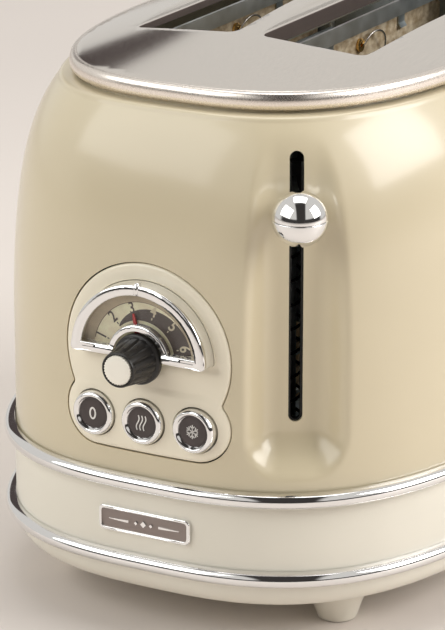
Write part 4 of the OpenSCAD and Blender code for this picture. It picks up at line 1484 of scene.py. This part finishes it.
# %% View direction
view_turn = math.radians(28.86)
view_rise = math.radians(18.09)
view_far = 1.184
aim_forward, aim_up = 0.0921, 0.1014
aim = Vector((0, mid_y * MM - aim_forward, aim_up))
level = math.cos(view_rise)
away = Vector((math.sin(view_turn) * level, -math.cos(view_turn) * level, math.sin(view_rise)))
camera = bpy.data.objects.new("camera", bpy.data.cameras.new("camera"))
bpy.context.scene.collection.objects.link(camera)
camera.location = aim + view_far * away
camera.rotation_euler = (-away).to_track_quat("-Z", "Y").to_euler()
camera.data.lens = 190.0
camera.data.sensor_width = 36.0
camera.data.clip_end = 50.0
bpy.context.scene.camera = camera
print("camera at", [round(c, 3) for c in camera.location])


# %% Lights
look_at = Vector((0, 0, 0.1))


def softbox(name, beside, height, far, size, power, colour):
    """A rectangular light. beside is how many degrees it stands round from the viewer, to the right."""
    turn = view_turn + math.radians(beside)
    lamp = bpy.data.lights.new(name, "AREA")
    lamp.shape = "RECTANGLE"
    lamp.size, lamp.size_y = size
    lamp.energy = power
    lamp.color = colour
    made = bpy.data.objects.new(name, lamp)
    bpy.context.scene.collection.objects.link(made)
    made.location = (far * math.sin(turn), -far * math.cos(turn), height)
    made.rotation_euler = (look_at - made.location).to_track_quat("-Z", "Y").to_euler()
    return made


softbox("left_softbox", -66, 1.15, 1.6, (1.7, 1.2), 13, (0.98, 0.99, 0.965))
softbox("right_softbox", 76, 1.0, 1.6, (1.2, 1.1), 24, (1.0, 0.985, 0.965))
softbox("top_softbox", 175, 2.1, 0.35, (1.4, 1.2), 11, (1.0, 0.99, 0.98))

world = bpy.data.worlds.new("studio")
bpy.context.scene.world = world
world.use_nodes = True
sky_nodes, sky_links = world.node_tree.nodes, world.node_tree.links


def sky_node(kind, operation=None, **values):
    node = sky_nodes.new(kind)
    if operation:
        node.operation = operation
    for key, value in values.items():
        node.inputs[key.replace("_", " ")].default_value = value
    return node


def fade(source, low, high):
    """0 below low and 1 above high, with a smooth step between."""
    node = sky_node("ShaderNodeMapRange", From_Min=low, From_Max=high)
    node.interpolation_type = "SMOOTHSTEP"
    sky_links.new(source, node.inputs["Value"])
    return node.outputs["Result"]


def wash(where, under, colour):
    """Lays a colour over the room where the fade is high. Under and colour may be earlier washes."""
    node = sky_nodes.new("ShaderNodeMix")
    node.data_type = "RGBA"
    sky_links.new(where, node.inputs[0])
    for socket, value in ((node.inputs[6], under), (node.inputs[7], colour)):
        if isinstance(value, tuple):
            socket.default_value = value
        else:
            sky_links.new(value, socket)
    return node.outputs[2]


direction = sky_node("ShaderNodeTexCoord")
rise = sky_node("ShaderNodeSeparateXYZ")
sky_links.new(direction.outputs["Generated"], rise.inputs[0])


def along(x, y, z):
    """How far each direction leans towards (x, y, z)."""
    node = sky_node("ShaderNodeVectorMath", "DOT_PRODUCT")
    node.inputs[1].default_value = (x, y, z)
    sky_links.new(direction.outputs["Generated"], node.inputs[0])
    return node.outputs["Value"]


pale = (0.68, 0.66, 0.63, 1)
dark_turn = view_turn + math.radians(4)
beside = sky_node("ShaderNodeMath", "ABSOLUTE")
sky_links.new(along(math.cos(dark_turn), math.sin(dark_turn), 0), beside.inputs[0])
towards = along(math.sin(dark_turn), -math.cos(dark_turn), 0)
low_band = wash(fade(rise.outputs["Z"], 0.18, 0.26), (0.05, 0.046, 0.044, 1), pale)
strip_side = wash(fade(beside.outputs[0], 0.26, 0.36), (0.045, 0.041, 0.039, 1), low_band)
open_room = wash(fade(towards, -0.1, 0.2), pale, strip_side)
flag = along(-0.676, 0.676, 0.292)
flag_top = wash(fade(rise.outputs["Z"], 0.235, 0.265), open_room, (0.075, 0.06, 0.058, 1))
room = wash(fade(flag, 0.974, 0.980), open_room, flag_top)
sky_links.new(room, sky_nodes["Background"].inputs["Color"])
sky_nodes["Background"].inputs["Strength"].default_value = 1.0
bpy.context.scene.view_settings.view_transform = "Standard"
